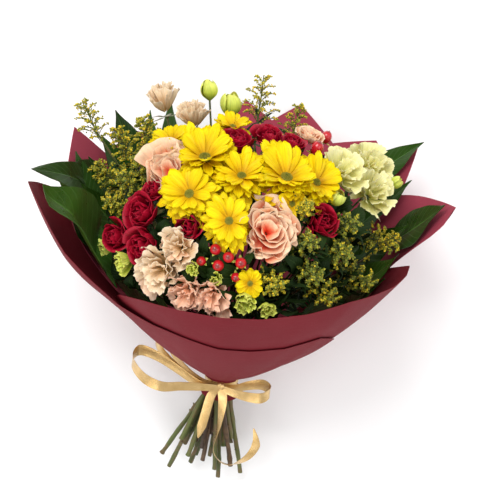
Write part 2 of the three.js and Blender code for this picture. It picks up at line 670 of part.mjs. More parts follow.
function paperSheet({ layer, rim }) {
  const columns = rim.map(([degrees, top]) => {
    const levels = layer ? PAPER_ROWS : [SKIRT_START, ...PAPER_ROWS.slice(3)];
    const count = levels.length;
    const alongs = levels.map((row, k) => Math.min(row, top - RIM_STEP * (count - k)));
    return [...alongs, top].map((along) => {
      const loose = THREE.MathUtils.smoothstep(along, 0, 45);
      const pitch = lerp(PAPER_PITCH[0], PAPER_PITCH[1], loose);
      const lift = layer ? 0 : lerp(SKIRT_LIFT, 0, loose);
      const toCorner = Math.exp(-(((degrees - CORNER_ANGLE) / 28) ** 2));
      const flare = layer ? 0 : CORNER_FLARE * THREE.MathUtils.smoothstep(along, 90, 170) * toCorner;
      const floor = PAPER_THICKNESS / 2 + (layer === 3 ? PAPER_PITCH[1] : 0);
      const nearSpike = THREE.MathUtils.clamp((SPIKE_TO - degrees) / (SPIKE_TO - SPIKE_FROM), 0, 1);
      const lean = layer === 2 ? SPIKE_LEAN * nearSpike * THREE.MathUtils.smoothstep(along, 142, 268) : 0;
      return onBowl(degrees - lean, along, layer * pitch - flare - lift, floor);
    });
  });
  return solidOf(sheetGeometry(columns, PAPER_THICKNESS));
}
for (const sheet of WRAP) place(sheet.name, paperSheet(sheet), "paper");

// The ribbon: a band round the paper's waist, a knot in front, loops to both sides and two tails.
// Its places are [to the right, to the front, along the axis] from the tie.
const RIBBON_WIDTH = 10.5;
const RIBBON_THICKNESS = 0.8;
const LOOP_SWELL = 0.35;
const BAND_RADIUS = 19;
const BAND_FROM = -10;
const BAND_TO = -3.6;
const inBouquet = ([right, front, along]) =>
  TIE.clone().addScaledVector(AXIS, along).addScaledVector(SIDE, right).addScaledVector(FRONT, front);
const LOOPS = [
  [[-1, 24, -8.7], [-22, 26, -9.3], [-45, 31, -8.7], [-68, 41, -6], [-90, 33, -2], [-105, 13, 5], [-99, -5, 10],
    [-76, -1, 7], [-48, 10, -2], [-24, 21, -8.7], [-1, 22.8, -8.7]],
  [[-1, 20.4, -8.7], [-24, 13, -9.3], [-50, -6, -2], [-70, -24, 16], [-82, -24, 18], [-72, -10, 7], [-46, 4, -7],
    [-24, 17.5, -9.3], [-1, 21.6, -8.7]],
  [[1, 20.8, -8.7], [16, 20.5, -8.7], [32, 19, -3], [48, 25, 4], [57, 36, 3], [49, 45, -1], [34, 41, -5], [17, 31, -8.7],
    [1, 24, -8.7]],
];
const SHORT_TAIL = [[-4, 23, -9], [-10, 27, -20], [-14, 32, -46], [-18, 34, -74]];
const LONG_TAIL = [
  [vec(-22, -169, 95), vec(1, 0, 0)],
  [vec(-20, -185, 93), vec(1, 0, 0.3)],
  [vec(-24, -214, 82), vec(0.5, 0, 1)],
  [vec(-31, -242, 72), vec(0, 0.2, 1)],
  [vec(-25, -257, 64), vec(0, 0, 1)],
  [vec(-13, -263, 58), vec(0, 0, 1)],
  [vec(0, -260, 53), vec(-0.05, 0.5, 0.85)],
  [vec(12, -252, 50), vec(-0.5, 0.65, 0.55)],
  [vec(19, -239, 49), vec(-0.95, 0.25, 0.25)],
  [vec(16, -221, 52), vec(-1, -0.1, 0)],
];

// A strip along centres, each with the direction of its width; the end may be cut to a point
function strip(centres, directions, tip = 1, swell = 0) {
  const rows = centres.map((centre, i) => {
    const wider = 1 + swell * Math.sin((Math.PI * i) / (centres.length - 1)) ** 2;
    const half = (RIBBON_WIDTH / 2) * wider * (i === centres.length - 1 ? tip : 1);
    const side = directions[i].clone().normalize();
    return [centre.clone().addScaledVector(side, -half), centre.clone().addScaledVector(side, half)];
  });
  return solidOf(sheetGeometry(rows, RIBBON_THICKNESS));
}

function ribbonSolid() {
  const outer = BAND_RADIUS + RIBBON_THICKNESS;
  const profile = [[BAND_RADIUS, BAND_FROM], [outer, BAND_FROM], [outer, BAND_TO], [BAND_RADIUS, BAND_TO]];
  const corners = [...profile, profile[0]].map(([x, y]) => new THREE.Vector2(x, y));
  const upright = new THREE.Quaternion().setFromUnitVectors(vec(0, 1, 0), AXIS);
  const atTie = new THREE.Matrix4().compose(TIE, upright, vec(1, 1, 1));
  const band = solidOf(new THREE.LatheGeometry(corners, 14).applyMatrix4(atTie));
  const axes = new THREE.Matrix4().makeBasis(SIDE, FRONT, AXIS).setPosition(inBouquet([0, 21.6, -7.2]));
  const knot = solidOf(new THREE.BoxGeometry(9, 6, 6.4).applyMatrix4(axes));
  const loops = LOOPS.map((loop) => strip(loop.map(inBouquet), loop.map(() => AXIS), 1, LOOP_SWELL));
  const short = strip(SHORT_TAIL.map(inBouquet), SHORT_TAIL.map(() => SIDE), 0.1);
  const long = strip(LONG_TAIL.map(([centre]) => centre), LONG_TAIL.map(([, side]) => side), 0.1);
  return fuse([band, knot, ...loops, short, long]);
}
place("ribbon", ribbonSolid(), "ribbon");

// Twine round the stems at the waist, under the paper
const TWINE_RADIUS = 0.7;
const TWINE_RING = 13.5;
const twine = new THREE.TorusGeometry(TWINE_RING, TWINE_RADIUS, 4, 14);
const lying = new THREE.Quaternion().setFromUnitVectors(UP, AXIS);
twine.applyMatrix4(new THREE.Matrix4().compose(inBouquet([0, 0, -3]), lying, vec(1, 1, 1)));
place("binding_twine", solidOf(twine), "twine");

// Stems: each spray runs from its cut end through the tie to a fork, and from there to its heads
const SPRAYS = new Map();
for (const h of HEADS) {
  if (!SPRAYS.has(h.spray)) SPRAYS.set(h.spray, { name: h.spray, heads: [], leaves: [] });
  SPRAYS.get(h.spray).heads.push(h);
}
for (const l of LEAVES) {
  if (!SPRAYS.has(l.spray)) SPRAYS.set(l.spray, { name: l.spray, heads: [], leaves: [] });
  SPRAYS.get(l.spray).leaves.push({ ...l, ...leafSolid(l) });
}

// Slots for the stems at the tie, in a close pattern of rings
const slots = [];
for (let ring = 0; ring < 4; ring++) {
  const around = ring ? 6 * ring : 1;
  for (let k = 0; k < around; k++) {
    const side = Math.floor(k / Math.max(ring, 1));
    const step = k % Math.max(ring, 1);
    const from = radians(60 * side);
    const onwards = radians(60 * (side + 2));
    slots.push([
      STEM_PITCH * (ring * Math.cos(from) + step * Math.cos(onwards)),
      STEM_PITCH * (ring * Math.sin(from) + step * Math.sin(onwards)),
    ]);
  }
}
const sprays = [...SPRAYS.values()];
for (const s of sprays) {
  const ends = [...s.heads.map((h) => h.seat), ...s.leaves.map((l) => l.foot)];
  const bearing = ends.reduce((sum, e) => sum.add(e.clone().sub(TIE).normalize()), vec(0, 0, 0)).normalize();
  s.lean = [bearing.dot(SIDE), bearing.dot(FRONT)].map((x) => (x / bearing.dot(AXIS)) * STEM_PITCH * 3.4);
}
slots.sort((a, b) => Math.hypot(...a) - Math.hypot(...b));
slots.length = sprays.length;
const slotMiss = (s, k) => (s.lean[0] - slots[k][0]) ** 2 + (s.lean[1] - slots[k][1]) ** 2;
sprays.forEach((s, k) => (s.slot = k));
for (let pass = 0; pass < 40; pass++) {
  for (const s of sprays) {
    for (const o of sprays) {
      const kept = slotMiss(s, s.slot) + slotMiss(o, o.slot);
      if (slotMiss(s, o.slot) + slotMiss(o, s.slot) < kept - 1e-9) [s.slot, o.slot] = [o.slot, s.slot];
    }
  }
}

const acrossAxis = (x, y) => SIDE.clone().multiplyScalar(x).addScaledVector(FRONT, y);

// Below the tie the bundle turns and spreads like a twisted sheaf; above it, it only spreads
function sheafPoint(slot, along) {
  const [x, y] = slots[slot];
  const t = along * STEM_SPREAD;
  if (along >= 0) {
    const spot = TIE.clone().addScaledVector(AXIS, along);
    return spot.add(acrossAxis(x, y).multiplyScalar(Math.sqrt(1 + t * t)));
  }
  const flat = lerp(1, SHEAF_FLATNESS, THREE.MathUtils.smoothstep(-along, 20, 100));
  const spot = TIE.clone().addScaledVector(SHEAF_LEAN, along);
  spot.add(acrossAxis(x - t * y, (y + t * x) * flat));
  spot.z = Math.max(spot.z, STEM_RADIUS);
  return spot;
}

// Cut lengths below the tie, by slot
const cutLength = (slot) => lerp(...CUT_LENGTHS, ((slot * 7) % 11) / 10);

const paths = [];
for (const s of sprays) {
  const end = sheafPoint(s.slot, -cutLength(s.slot));
  const low = sheafPoint(s.slot, -30);
  const waist = sheafPoint(s.slot, 0);
  const fork = sheafPoint(s.slot, JUNCTION);
  s.trunk = { owner: s.name, radius: STEM_RADIUS, points: [end, low, waist, sheafPoint(s.slot, 28), fork], fixed: [0, 1, 2, 3] };
  paths.push(s.trunk);
  s.branches = [];
  for (const h of s.heads) {
    const bloom = Boolean(BLOOMS[h.kind]);
    const below = (distance) => h.seat.clone().addScaledVector(h.facing, -distance);
    const middle = fork.clone().lerp(below(12), 0.5);
    const points = bloom ? [fork, middle, below(16), below(4.5), below(0.1)] : [fork, middle, below(-2)];
    const fixed = bloom ? [0, 3, 4] : [0, 2];
    const branch = { owner: s.name, radius: TWIG_RADIUS, points, fixed, head: h };
    s.branches.push(branch);
    paths.push(branch);
  }
  for (const l of s.leaves) {
    const branch = { owner: s.name, radius: TWIG_RADIUS, points: [fork, fork.clone().lerp(l.foot, 0.5), l.foot], fixed: [0, 2] };
    s.branches.push(branch);
    paths.push(branch);
  }
}

// The nearest points of two straight stretches, as shares along each
function nearestShares(a, b, c, d) {
  const u = b.clone().sub(a);
  const v = d.clone().sub(c);
  const w = a.clone().sub(c);
  const [uu, uv, vv, uw, vw] = [u.dot(u), u.dot(v), v.dot(v), u.dot(w), v.dot(w)];
  const det = uu * vv - uv * uv;
  const limit = (x) => THREE.MathUtils.clamp(x, 0, 1);
  let s = det > 1e-9 ? limit((uv * vw - vv * uw) / det) : 0.5;
  const t = limit((uv * s + vw) / vv);
  s = limit((uv * t - uw) / uu);
  return [s, t];
}

// Stems of different sprays are eased apart until they clear each other
function easeApart(rounds) {
  for (let round = 0; round < rounds; round++) {
    let worst = 0;
    for (let i = 0; i < paths.length; i++) {
      for (let j = i + 1; j < paths.length; j++) {
        const [p, q] = [paths[i], paths[j]];
        if (p.owner === q.owner) continue;
        const need = p.radius + q.radius + 0.9;
        for (let a = 0; a < p.points.length - 1; a++) {
          for (let b = 0; b < q.points.length - 1; b++) {
            const [p0, p1, q0, q1] = [p.points[a], p.points[a + 1], q.points[b], q.points[b + 1]];
            const [s, t] = nearestShares(p0, p1, q0, q1);
            const gap = p0.clone().lerp(p1, s).sub(q0.clone().lerp(q1, t));
            const short = need - gap.length();
            if (short <= 0) continue;
            worst = Math.max(worst, short);
            const push = (gap.length() > 1e-6 ? gap.normalize() : SIDE.clone()).multiplyScalar(short * 0.4);
            if (!p.fixed.includes(a)) p0.addScaledVector(push, 1 - s);
            if (!p.fixed.includes(a + 1)) p1.addScaledVector(push, s);
            if (!q.fixed.includes(b)) q0.addScaledVector(push, -(1 - t));
            if (!q.fixed.includes(b + 1)) q1.addScaledVector(push, -t);
          }
        }
      }
    }
    for (const { points, fixed } of paths) {
      points.filter((_, k) => !fixed.includes(k)).forEach(keepInside);
    }
    if (worst < 0.02) return;
  }
}

// Stems bend in the room inside the leaves
function keepInside(point) {
  const from = point.clone().sub(TIE);
  const along = from.dot(AXIS);
  const away = from.addScaledVector(AXIS, -along);
  const room = bowlRadius(along) - BLOOM_LAYER - 2;
  if (away.length() > room) point.addScaledVector(away, room / away.length() - 1);
}
easeApart(400);

// The stretches of stem that a head must keep clear of: all that pass near it but its own
for (const h of HEADS) {
  h.stems = [];
  for (const path of paths.filter((p) => p.head !== h)) {
    path.points.slice(1).forEach((end, k) => {
      const stretch = new THREE.Line3(path.points[k], end);
      const nearest = stretch.closestPointToPoint(h.middle, true, vec());
      if (nearest.distanceTo(h.middle) < h.radius * 2.4 + 6) h.stems.push([path.points[k], end, path.radius + GAP]);
    });
  }
}

// The last stretch of a branch widens to a calyx under its bloom
const calyxRadius = (h) => (h.kind === "daisy" ? h.radius * 0.2 : h.radius * 0.28);
const branchRadii = ({ head, points }) =>
  points.map((_, k) => (k === points.length - 1 && head && BLOOMS[head.kind] ? calyxRadius(head) : TWIG_RADIUS));

function bud(h) {
  const r = h.radius;
  const profile = [
    [0, -2],
    [r * 0.7, r * 0.5],
    [r * 0.56, r * 1.4],
    [0, r * 2],
  ];
  const g = new THREE.LatheGeometry(profile.map(([x, y]) => new THREE.Vector2(x, y)), 5).rotateX(Math.PI / 2);
  const made = fitted(h, (scale) => g.clone().scale(scale, scale, scale), frameOf(h));
  return made ? [solidOf(made.applyMatrix4(frameOf(h)))] : [];
}

function berry(h) {
  const middle = h.middle.clone().addScaledVector(h.facing, -1.5);
  return [bead(middle, h.radius * 0.85, h.facing, h.radius * 2.6, [5, 3])];
}

// A plume of goldenrod: a tapering three-sided twig with rounds of sprigs, each a neck, a girdle and a tip
const PLUME_ROUNDS = 4;
const PLUME_TWIST = 0.4;
const SPRIG_NECK = 2.2;
const SPRIG_GIRTH = 2.1;

function plume(h) {
  const r = h.radius;
  const length = r * DEPTH.plume;
  const points = [];
  const triangles = [];
  const start = h.draw() * 6;
  const local = (x, y, z) => vec(x, y, z).applyQuaternion(h.turned).add(h.seat);
  const corners = (radius, up, turn) =>
    [0, 1, 2].map((i) => {
      const a = turn + (i * 2 * Math.PI) / 3;
      points.push(local(radius * Math.cos(a), radius * Math.sin(a), up));
      return points.length - 1;
    });
  const sprig = ([a, b, c, d], turn, up, reach) => {
    const out = vec(Math.cos(turn), Math.sin(turn), 0.75).normalize();
    const around = vec(-Math.sin(turn), Math.cos(turn), 0);
    const over = out.clone().cross(around);
    const foot = vec(Math.cos(turn), Math.sin(turn), 0).setZ(up);
    const grow = (scale) => {
      const girdle = foot.clone().addScaledVector(out, reach * scale * 0.62);
      const girth = SPRIG_GIRTH * (0.5 + 0.5 * scale);
      const ring = [[-1, -0.6], [1, -0.6], [0, 1.1]].map(([u, v]) =>
        girdle.clone().addScaledVector(around, u * girth * 0.86).addScaledVector(over, v * girth),
      );
      return [...ring, foot.clone().addScaledVector(out, reach * scale)].map((p) => local(p.x, p.y, p.z));
    };
    const scale = [1.15, 1, 0.85, 0.7, 0.55, 0.4, 0.3].find((k) => {
      const made = grow(k);
      return made.every((p) => isClear(h, p) && isClear(h, p.clone().lerp(made[3], 0.5)));
    });
    if (!scale) {
      triangles.push([a, b, c], [a, c, d]);
      return;
    }
    const [left, right, top, tip] = [0, 1, 2, 3].map((k) => points.length + k);
    points.push(...grow(scale));
    triangles.push([a, b, right], [a, right, left], [b, c, right], [c, top, right], [c, d, top]);
    triangles.push([d, a, left], [d, left, top], [left, right, tip], [right, top, tip], [top, left, tip]);
  };
  let lower = corners(1.3, -1, start);
  triangles.push([lower[0], lower[2], lower[1]]);
  for (let round = 0; round < PLUME_ROUNDS; round++) {
    const share = round / (PLUME_ROUNDS - 1);
    const up = lerp(0.08, 0.8, share) * length;
    const girth = lerp(1.3, 0.9, share);
    const turn = start + round * PLUME_TWIST;
    for (const [ends, radius] of [[up, girth], [up + SPRIG_NECK, girth]]) {
      const upper = corners(radius, ends, turn);
      for (let i = 0; i < 3; i++) {
        const next = (i + 1) % 3;
        const quad = [lower[i], lower[next], upper[next], upper[i]];
        if (ends === up) triangles.push([quad[0], quad[1], quad[2]], [quad[0], quad[2], quad[3]]);
        else {
          const middle = turn + ((i + 0.5) * 2 * Math.PI) / 3;
          sprig(quad, middle, up + SPRIG_NECK / 2, r * lerp(0.92, 0.42, share) * (0.85 + 0.3 * h.draw()));
        }
      }
      lower = upper;
    }
  }
  points.push(local(0, 0, length * 1.08));
  for (let i = 0; i < 3; i++) triangles.push([lower[i], lower[(i + 1) % 3], points.length - 1]);
  return [solidOf(closedMesh(points, triangles))];
}

// A small pointed leaf that leans over between the blooms
function leaflet(h) {
  const long = h.radius * DEPTH.leaflet;
  const turn = h.draw() * 2 * Math.PI;
  const out = vec(Math.cos(turn), Math.sin(turn), 0);
  const across = vec(-Math.sin(turn), Math.cos(turn), 0);
  const grow = (scale) => {
    const at = (along, side) =>
      out
        .clone()
        .multiplyScalar(long * scale * (0.8 * along - 0.1))
        .addScaledVector(across, side * long * 0.3 * scale)
        .setZ(long * scale * (0.6 * along - 0.25 * along * along) + Math.abs(side) * long * 0.06 - 1);
    const edge = [[0, -0.1], [0.35, -1], [0.75, -0.7], [1.05, 0], [0.75, 0.7], [0.35, 1], [0, 0.1]];
    return pillowGeometry(edge.map(([along, side]) => at(along, side)), at(0.5, 0), vec(0, 0, 0.8));
  };
  const made = fitted(h, grow, frameOf(h));
  return made ? [solidOf(made.applyMatrix4(frameOf(h)))] : [];
}

// Stem, branches and heads of one spray, fused in one body
const GROWN = { bud, berry, plume, leaflet };

function sprayedSolid({ trunk, branches, leaves }) {
  const grown = branches.flatMap(({ head }) => (head && GROWN[head.kind] ? GROWN[head.kind](head) : []));
  if (branches.length === 1) {
    const [only] = branches;
    const points = [...trunk.points.slice(0, -1), ...only.points];
    const radii = [...trunk.points.slice(1).map(() => STEM_RADIUS), ...branchRadii(only)];
    return fuse([rod(points, radii, 4), ...grown]);
  }
  const parts = [rod(trunk.points, STEM_RADIUS, 4)];
  parts.push(bead(trunk.points.at(-1), STEM_RADIUS * 1.5, AXIS, STEM_RADIUS * 3.4, [4, 2]));
  for (const branch of branches) parts.push(rod(branch.points, branchRadii(branch), 3));
  return fuse([...parts, ...grown, ...leaves.map((l) => l.solid)]);
}

const CREAM = ["lisianthus_7", "lisianthus_8", "lisianthus_9"];
for (const h of HEADS.filter((h) => BLOOMS[h.kind])) {
  const bloom = place(h.name, BLOOMS[h.kind](h), CREAM.includes(h.name) ? "cream" : h.kind);
  bloom.position.copy(h.seat);
  bloom.quaternion.copy(h.turned);
}

const SPRAY_PAINT = { goldenrod: "goldenrod", leafy_stem: "leaf", berry_stem: "berry" };
for (const s of sprays) {
  const kind = Object.keys(SPRAY_PAINT).find((k) => s.name.startsWith(k));
  place(s.name, sprayedSolid(s), SPRAY_PAINT[kind] ?? "green");
}

bouquet.position.copy(SHIFT);

export default bouquet;
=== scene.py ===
"""The looks of a hand-tied mixed bouquet in paper, lying on its back.

Places are worked out in millimetres from the point under the eye. They become metres in the frame when a mesh
is made. +Y runs from the cut stems towards the flowers, and +Z up.
"""

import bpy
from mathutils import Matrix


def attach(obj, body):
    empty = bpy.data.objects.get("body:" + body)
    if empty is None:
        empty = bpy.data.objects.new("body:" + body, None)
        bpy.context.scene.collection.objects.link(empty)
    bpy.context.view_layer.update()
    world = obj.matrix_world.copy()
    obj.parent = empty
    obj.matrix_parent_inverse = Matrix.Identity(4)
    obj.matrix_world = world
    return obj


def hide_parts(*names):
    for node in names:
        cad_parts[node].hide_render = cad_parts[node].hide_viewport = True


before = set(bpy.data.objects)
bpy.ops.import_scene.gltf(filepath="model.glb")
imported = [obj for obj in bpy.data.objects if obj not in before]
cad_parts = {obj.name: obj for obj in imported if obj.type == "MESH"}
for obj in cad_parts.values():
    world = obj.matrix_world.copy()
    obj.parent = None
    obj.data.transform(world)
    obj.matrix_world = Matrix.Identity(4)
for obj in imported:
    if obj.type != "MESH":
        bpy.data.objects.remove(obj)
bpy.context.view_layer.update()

import copy
import math

import bpy
import numpy as np
from mathutils import Vector

METRES = 0.001
TURN = 2 * math.pi
GOLDEN = math.radians(137.508)


def vec(x, y, z):
    return np.array([x, y, z], float)


def unit(v):
    return v / np.linalg.norm(v, axis=-1, keepdims=True)


def dot(p, q):
    return np.sum(p * q, axis=-1)


def lerp(a, b, t):
    return a + (b - a) * t


def smoothstep(x, low, high):
    t = np.clip((x - low) / (high - low), 0, 1)
    return t * t * (3 - 2 * t)


def level(angle):
    """The level direction at an angle."""
    return vec(math.cos(angle), math.sin(angle), 0)


def softened(values):
    """A row of values with its corners rounded off."""
    return np.convolve(np.pad(values, 1, mode="edge"), [0.25, 0.5, 0.25], mode="valid")


def spread(rib, across, side, upward, lift):
    """A grid of points about a rib: so far to each side of it, and lifted so far."""
    across, upward = np.atleast_2d(across), np.atleast_2d(upward)
    return rib[:, None] + across[:, None] * side[..., None] + upward[:, None] * lift[..., None]


# The bouquet's layout. It is that of the solids, except that the paper's collar below the tie is longer here

EYE = vec(0, 0, 2400)
SIGHT_HEIGHT = 200
SHIFT = vec(-1.1, 48.9, 0)
UP = vec(0, 0, 1)
TIE = vec(-20, -152, 79)
AXIS = unit(vec(0.118, 0.876, 0.469))
FRONT = unit(UP - AXIS * (UP @ AXIS))
SIDE = np.cross(AXIS, FRONT)
DOME_RADIUS = 168
DOME_HEIGHT = 142
DOME_CENTRE = TIE + AXIS * 180
COLLAR_RADIUS = 19
BOWL_SPREAD = 290
BOWL_CURVE = 200
COLLAR_FLARE_FROM = 10
COLLAR_LENGTH = 27
PAPER_THICKNESS = 0.6
# From sheet to sheet, at the tie and further up
PAPER_PITCH = (1.2, 2.7)
# How far inside the paper the leaves and the blooms stay, and how far above the ground the blooms do
LEAF_LAYER = 14.5
BLOOM_LAYER = 19
LOWEST_PETAL = 8
# Where along the axis a leaf that leans out starts to, and where it lies over the paper's rim
RIM_SPAN = (215, 262)
STEM_RADIUS = 1.75
TWIG_RADIUS = 1.2
STEM_PITCH = 3.9
STEM_SPREAD = 0.043
SHEAF_LEAN = unit(vec(0.17, 0.9, 0.4))
SHEAF_FLATNESS = 0.5
CUT_LENGTHS = (84, 136)
JUNCTION = 62
STEM_GAP = 0.9
APEX = TIE + AXIS * 12


def seeded(seed):
    """The draw that the solids use, so that what leans at random leans the same way."""
    limit = 0xFFFFFFFF
    state = [seed & limit]

    def draw():
        state[0] = (state[0] + 0x6D2B79F5) & limit
        t = ((state[0] ^ (state[0] >> 15)) * (1 | state[0])) & limit
        t = ((t + (t ^ (t >> 7)) * (61 | t)) & limit) ^ t
        return ((t ^ (t >> 14)) & limit) / 4294967296

    return draw


def outward(degrees):
    a = np.radians(np.asarray(degrees, float))[..., None]
    return FRONT * np.cos(a) + SIDE * np.sin(a)


def from_axis(points, centre=TIE):
    """How far along the axis points lie from a centre, and the way out to them from the axis."""
    out = points - centre
    along = out @ AXIS
    return along, out - along[..., None] * AXIS


def bowl_radius(along):
    """The radius of the paper: a bowl above the tie, and a collar that flares a little below it."""
    along = np.asarray(along, float)
    above = COLLAR_RADIUS + BOWL_SPREAD * (1 - np.exp(-np.maximum(along, 0) / BOWL_CURVE))
    return above + np.where(along > 0, 0, 0.3 * np.maximum(0, -along - COLLAR_FLARE_FROM))


def on_bowl(degrees, along, inset, lowest):
    """Places on the paper, or inside it by the inset."""
    along = np.asarray(along, float)
    p = TIE + AXIS * along[..., None] + outward(degrees) * (bowl_radius(along) - inset)[..., None]
    p[..., 2] = np.maximum(p[..., 2], lowest)
    return p


def bowl_inward(degrees, along):
    slope = (BOWL_SPREAD / BOWL_CURVE) * np.exp(-np.maximum(0, along) / BOWL_CURVE)
    return unit(-outward(degrees) + AXIS * np.asarray(slope)[..., None])


def on_dome(x, y):
    """The place on the dome of blooms that is seen at x, y, and the dome's outward direction there."""
    sight = unit(vec(x, y, SIGHT_HEIGHT) - EYE)
    start = EYE - DOME_CENTRE

    def squash(v):
        along = v @ AXIS
        return (v - AXIS * along) / DOME_RADIUS + AXIS * along / DOME_HEIGHT

    s, d = squash(start), squash(sight)
    a, b, c = d @ d, s @ d, s @ s - 1
    root = math.sqrt(max(0.0, b * b - a * c))
    point = EYE + sight * ((-b - root) / a)
    out = point - DOME_CENTRE
    along = out @ AXIS
    normal = unit((out - AXIS * along) / DOME_RADIUS**2 + AXIS * along / DOME_HEIGHT**2)
    return point, normal


def rotation_to(direction):
    """The shortest turn from straight up to a direction, as a matrix."""
    v = np.cross(UP, direction)
    c = UP @ direction
    k = np.array([[0, -v[2], v[1]], [v[2], 0, -v[0]], [-v[1], v[0], 0]])
    return np.eye(3) + k + k @ k / (1 + c)


# The stems that carry the heads, by the letter that the tables below give
STEM_NAMES = {
    "C": "chrysanthemum_stem_",
    "R": "rose_stem_",
    "P": "garden_rose_stem_",
    "L": "lisianthus_stem_",
    "B": "berry_stem_",
    "G": "goldenrod_",
    "F": "leafy_stem_",
}

# Each kind of head: its name, its making, and for each head its place as seen from above, radius, turn
# towards the axis, how far it stands out, and its stem
HEADS = [
    ("chrysanthemum", "daisy", [
        (-55, 50, 31, 0.1, 6, "C1"), (-12, 21, 27, 0, 4, "C2"), (-38, 92, 38, 0.6, 6, "C1"),
        (-76, 112, 22, 0.4, 0, "C1"), (2, 73, 30, 0.4, 2, "C2"), (51, 70, 41, 0.6, 6, "C3"),
        (86, 66, 30, 0.3, 0, "C3"), (60, 42, 17, -0.3, -4, "C3"), (12, -52, 15, -0.1, -10, "C2"),
        (-8, 128, 19, 0.5, 0, "C1"),
    ]),
    ("rose", "rose", [
        (-112, 32, 20, 0, 2, "R1"), (-99, 59, 14, 0.1, -4, "R1"), (-142, 4, 17, 0, 0, "R1"),
        (-112, -9, 20, -0.1, 0, "R1"), (-60, 14, 18, 0, 0, "R1"), (-4, 111, 20, 0.3, 4, "R2"),
        (34, 116, 17, 0.3, 2, "R2"), (58, 110, 15, 0.3, 0, "R2"), (97, 22, 20, 0, -6, "R3"),
    ]),
    ("garden_rose", "garden", [
        (33, 10, 41, 0, 4, "P1"), (-80, 80, 36, 0.2, 0, "P2"), (78, 119, 14, 0.3, 0, "P3"),
    ]),
    ("lisianthus", "lisianthus", [
        (-92, -36, 26, -0.1, 2, "L1"), (-70, -8, 23, 0, 0, "L1"), (-62, -61, 22, -0.1, 0, "L1"),
        (-33, -65, 21, -0.1, -3, "L1"), (-83, 152, 20, 0.6, 4, "L2"), (-52, 136, 19, 0.5, 2, "L2"),
        (115, 77, 24, 0.2, 2, "L3"), (147, 86, 24, 0.3, 0, "L3"), (150, 53, 24, 0.1, 2, "L3"),
    ]),
    ("bud", "bud", [
        (-33, 166, 10, 0.7, 8, "L2"), (-10, 155, 12, 0.6, 4, "L2"), (-155, -10, 9, -0.2, 0, "L1"),
        (-136, -29, 11, -0.2, 0, "L1"), (-52, -32, 7, 0, 4, "L1"), (-27, -46, 8, 0, 2, "L1"),
        (6, -73, 11, -0.1, 0, "C2"), (31, -80, 8, -0.1, 0, "C2"), (172, 65, 7, 0.2, 4, "L3"),
        (109, 49, 9, 0.1, 2, "C3"),
    ]),
    ("berry", "berry", [
        (-28, -10, 6, 0, 0, "B1"), (-13, -19, 6, 0, 2, "B1"), (-25, -29, 6, 0, 0, "B1"),
        (1, -26, 6, 0, 0, "B1"), (-45, -24, 5, 0, -2, "B1"), (-5, -44, 5, 0, -6, "B1"),
        (87, 106, 7, 0.3, 2, "B2"), (96, 116, 6, 0.3, 4, "B2"),
    ]),
    ("plume", "plume", [
        (-168, 146, 20, 0.7, 8, "G1"), (-134, 118, 22, 0.4, 6, "G1"), (-158, 82, 22, 0.2, 2, "G2"),
        (-130, 70, 20, 0.1, 2, "G2"), (-146, 42, 20, 0, 2, "G2"), (-106, 130, 20, 0.4, 4, "G1"),
        (-112, 92, 19, 0.2, 2, "G2"), (24, 166, 23, 0.8, 14, "G3"), (66, 146, 20, 0.6, 2, "G3"),
        (78, -2, 20, 0, 6, "G4"), (72, 36, 14, 0, 8, "G4"), (125, 20, 22, 0, 4, "G5"),
        (118, -14, 20, 0, 4, "G5"), (168, -2, 24, -0.1, 6, "G5"), (40, -50, 22, 0, 4, "G6"),
        (84, -40, 20, 0, 4, "G4"), (100, -64, 22, -0.1, 4, "G6"), (142, -48, 22, -0.1, 4, "G5"),
    ]),
    ("leaflet", "leaflet", [
        (-82, 18, 13, 0, 0, "F1"), (-38, -9, 13, 0, 0, "F1"), (15, -20, 13, 0, 0, "F2"),
        (62, -26, 17, 0, 0, "F2"), (82, 94, 12, 0.2, 0, "F2"), (104, -30, 17, 0, -2, "F2"),
    ]),
]
# How far each kind stands up from its seat, in radii
DEPTH = {
    "daisy": 0.35,
    "rose": 1.15,
    "garden": 0.9,
    "lisianthus": 1.0,
    "bud": 2.0,
    "berry": 2.0,
    "plume": 1.8,
    "leaflet": 2.2,
}
# How far some heads turn from the way they stand towards the eye
GAZE = {
    "lisianthus_7": 0.7,
    "lisianthus_8": 1.1,
    "lisianthus_9": 0.9,
    "rose_9": 0.5,
    "rose_3": 0.4,
    "garden_rose_2": 0.5,
    "chrysanthemum_7": 0.3,
    "chrysanthemum_1": 0.3,
}
BLOOMS = ("daisy", "rose", "garden", "lisianthus")
# Heads further apart than this, in radians as seen from the apex, leave each other room
NEIGHBOUR_ANGLE = 1.2
# The lisianthus that are cream, that are narrow cups, and that are pinker than the rest
CREAM = ("lisianthus_7", "lisianthus_8", "lisianthus_9")
UPRIGHT = ("lisianthus_5", "lisianthus_6")
PINKER = ("lisianthus_3", "lisianthus_4")


def stem_name(code):
    return STEM_NAMES[code[0]] + code[1:]


class Head:
    """A bloom, bud, berry, plume or small leaf: its seat, the way it faces and the room that it has."""

    def __init__(self, name, kind, x, y, radius, turn, out, spray):
        point, normal = on_dome(x, y)
        self.name, self.kind, self.radius, self.spray = name, kind, radius, spray
        self.x, self.y = x, y
        self.facing = unit(normal + AXIS * turn + UP * GAZE.get(name, 0))
        self.turn = turn
        self.seat = point + normal * out - self.facing * radius * DEPTH[kind]
        self.middle = self.seat + self.facing * radius * DEPTH[kind] / 2
        self.bearing = unit(self.middle - APEX)
        self.turned = rotation_to(self.facing)
        # The seed that the solids use for the same head
        seed = len(name) * 977 + math.floor(x * 31 + y * 17 + 50000 + 0.5)
        self.draw = seeded(seed)
        self.rng = np.random.default_rng(seed)
        self.stems = []

    def world(self, local):
        return local @ self.turned.T + self.seat

    def below(self, distance):
        return self.seat - self.facing * distance


heads = [
    Head(f"{name}_{number}", kind, *row[:-1], stem_name(row[-1]))
    for name, kind, rows in HEADS
    for number, row in enumerate(rows, 1)
]


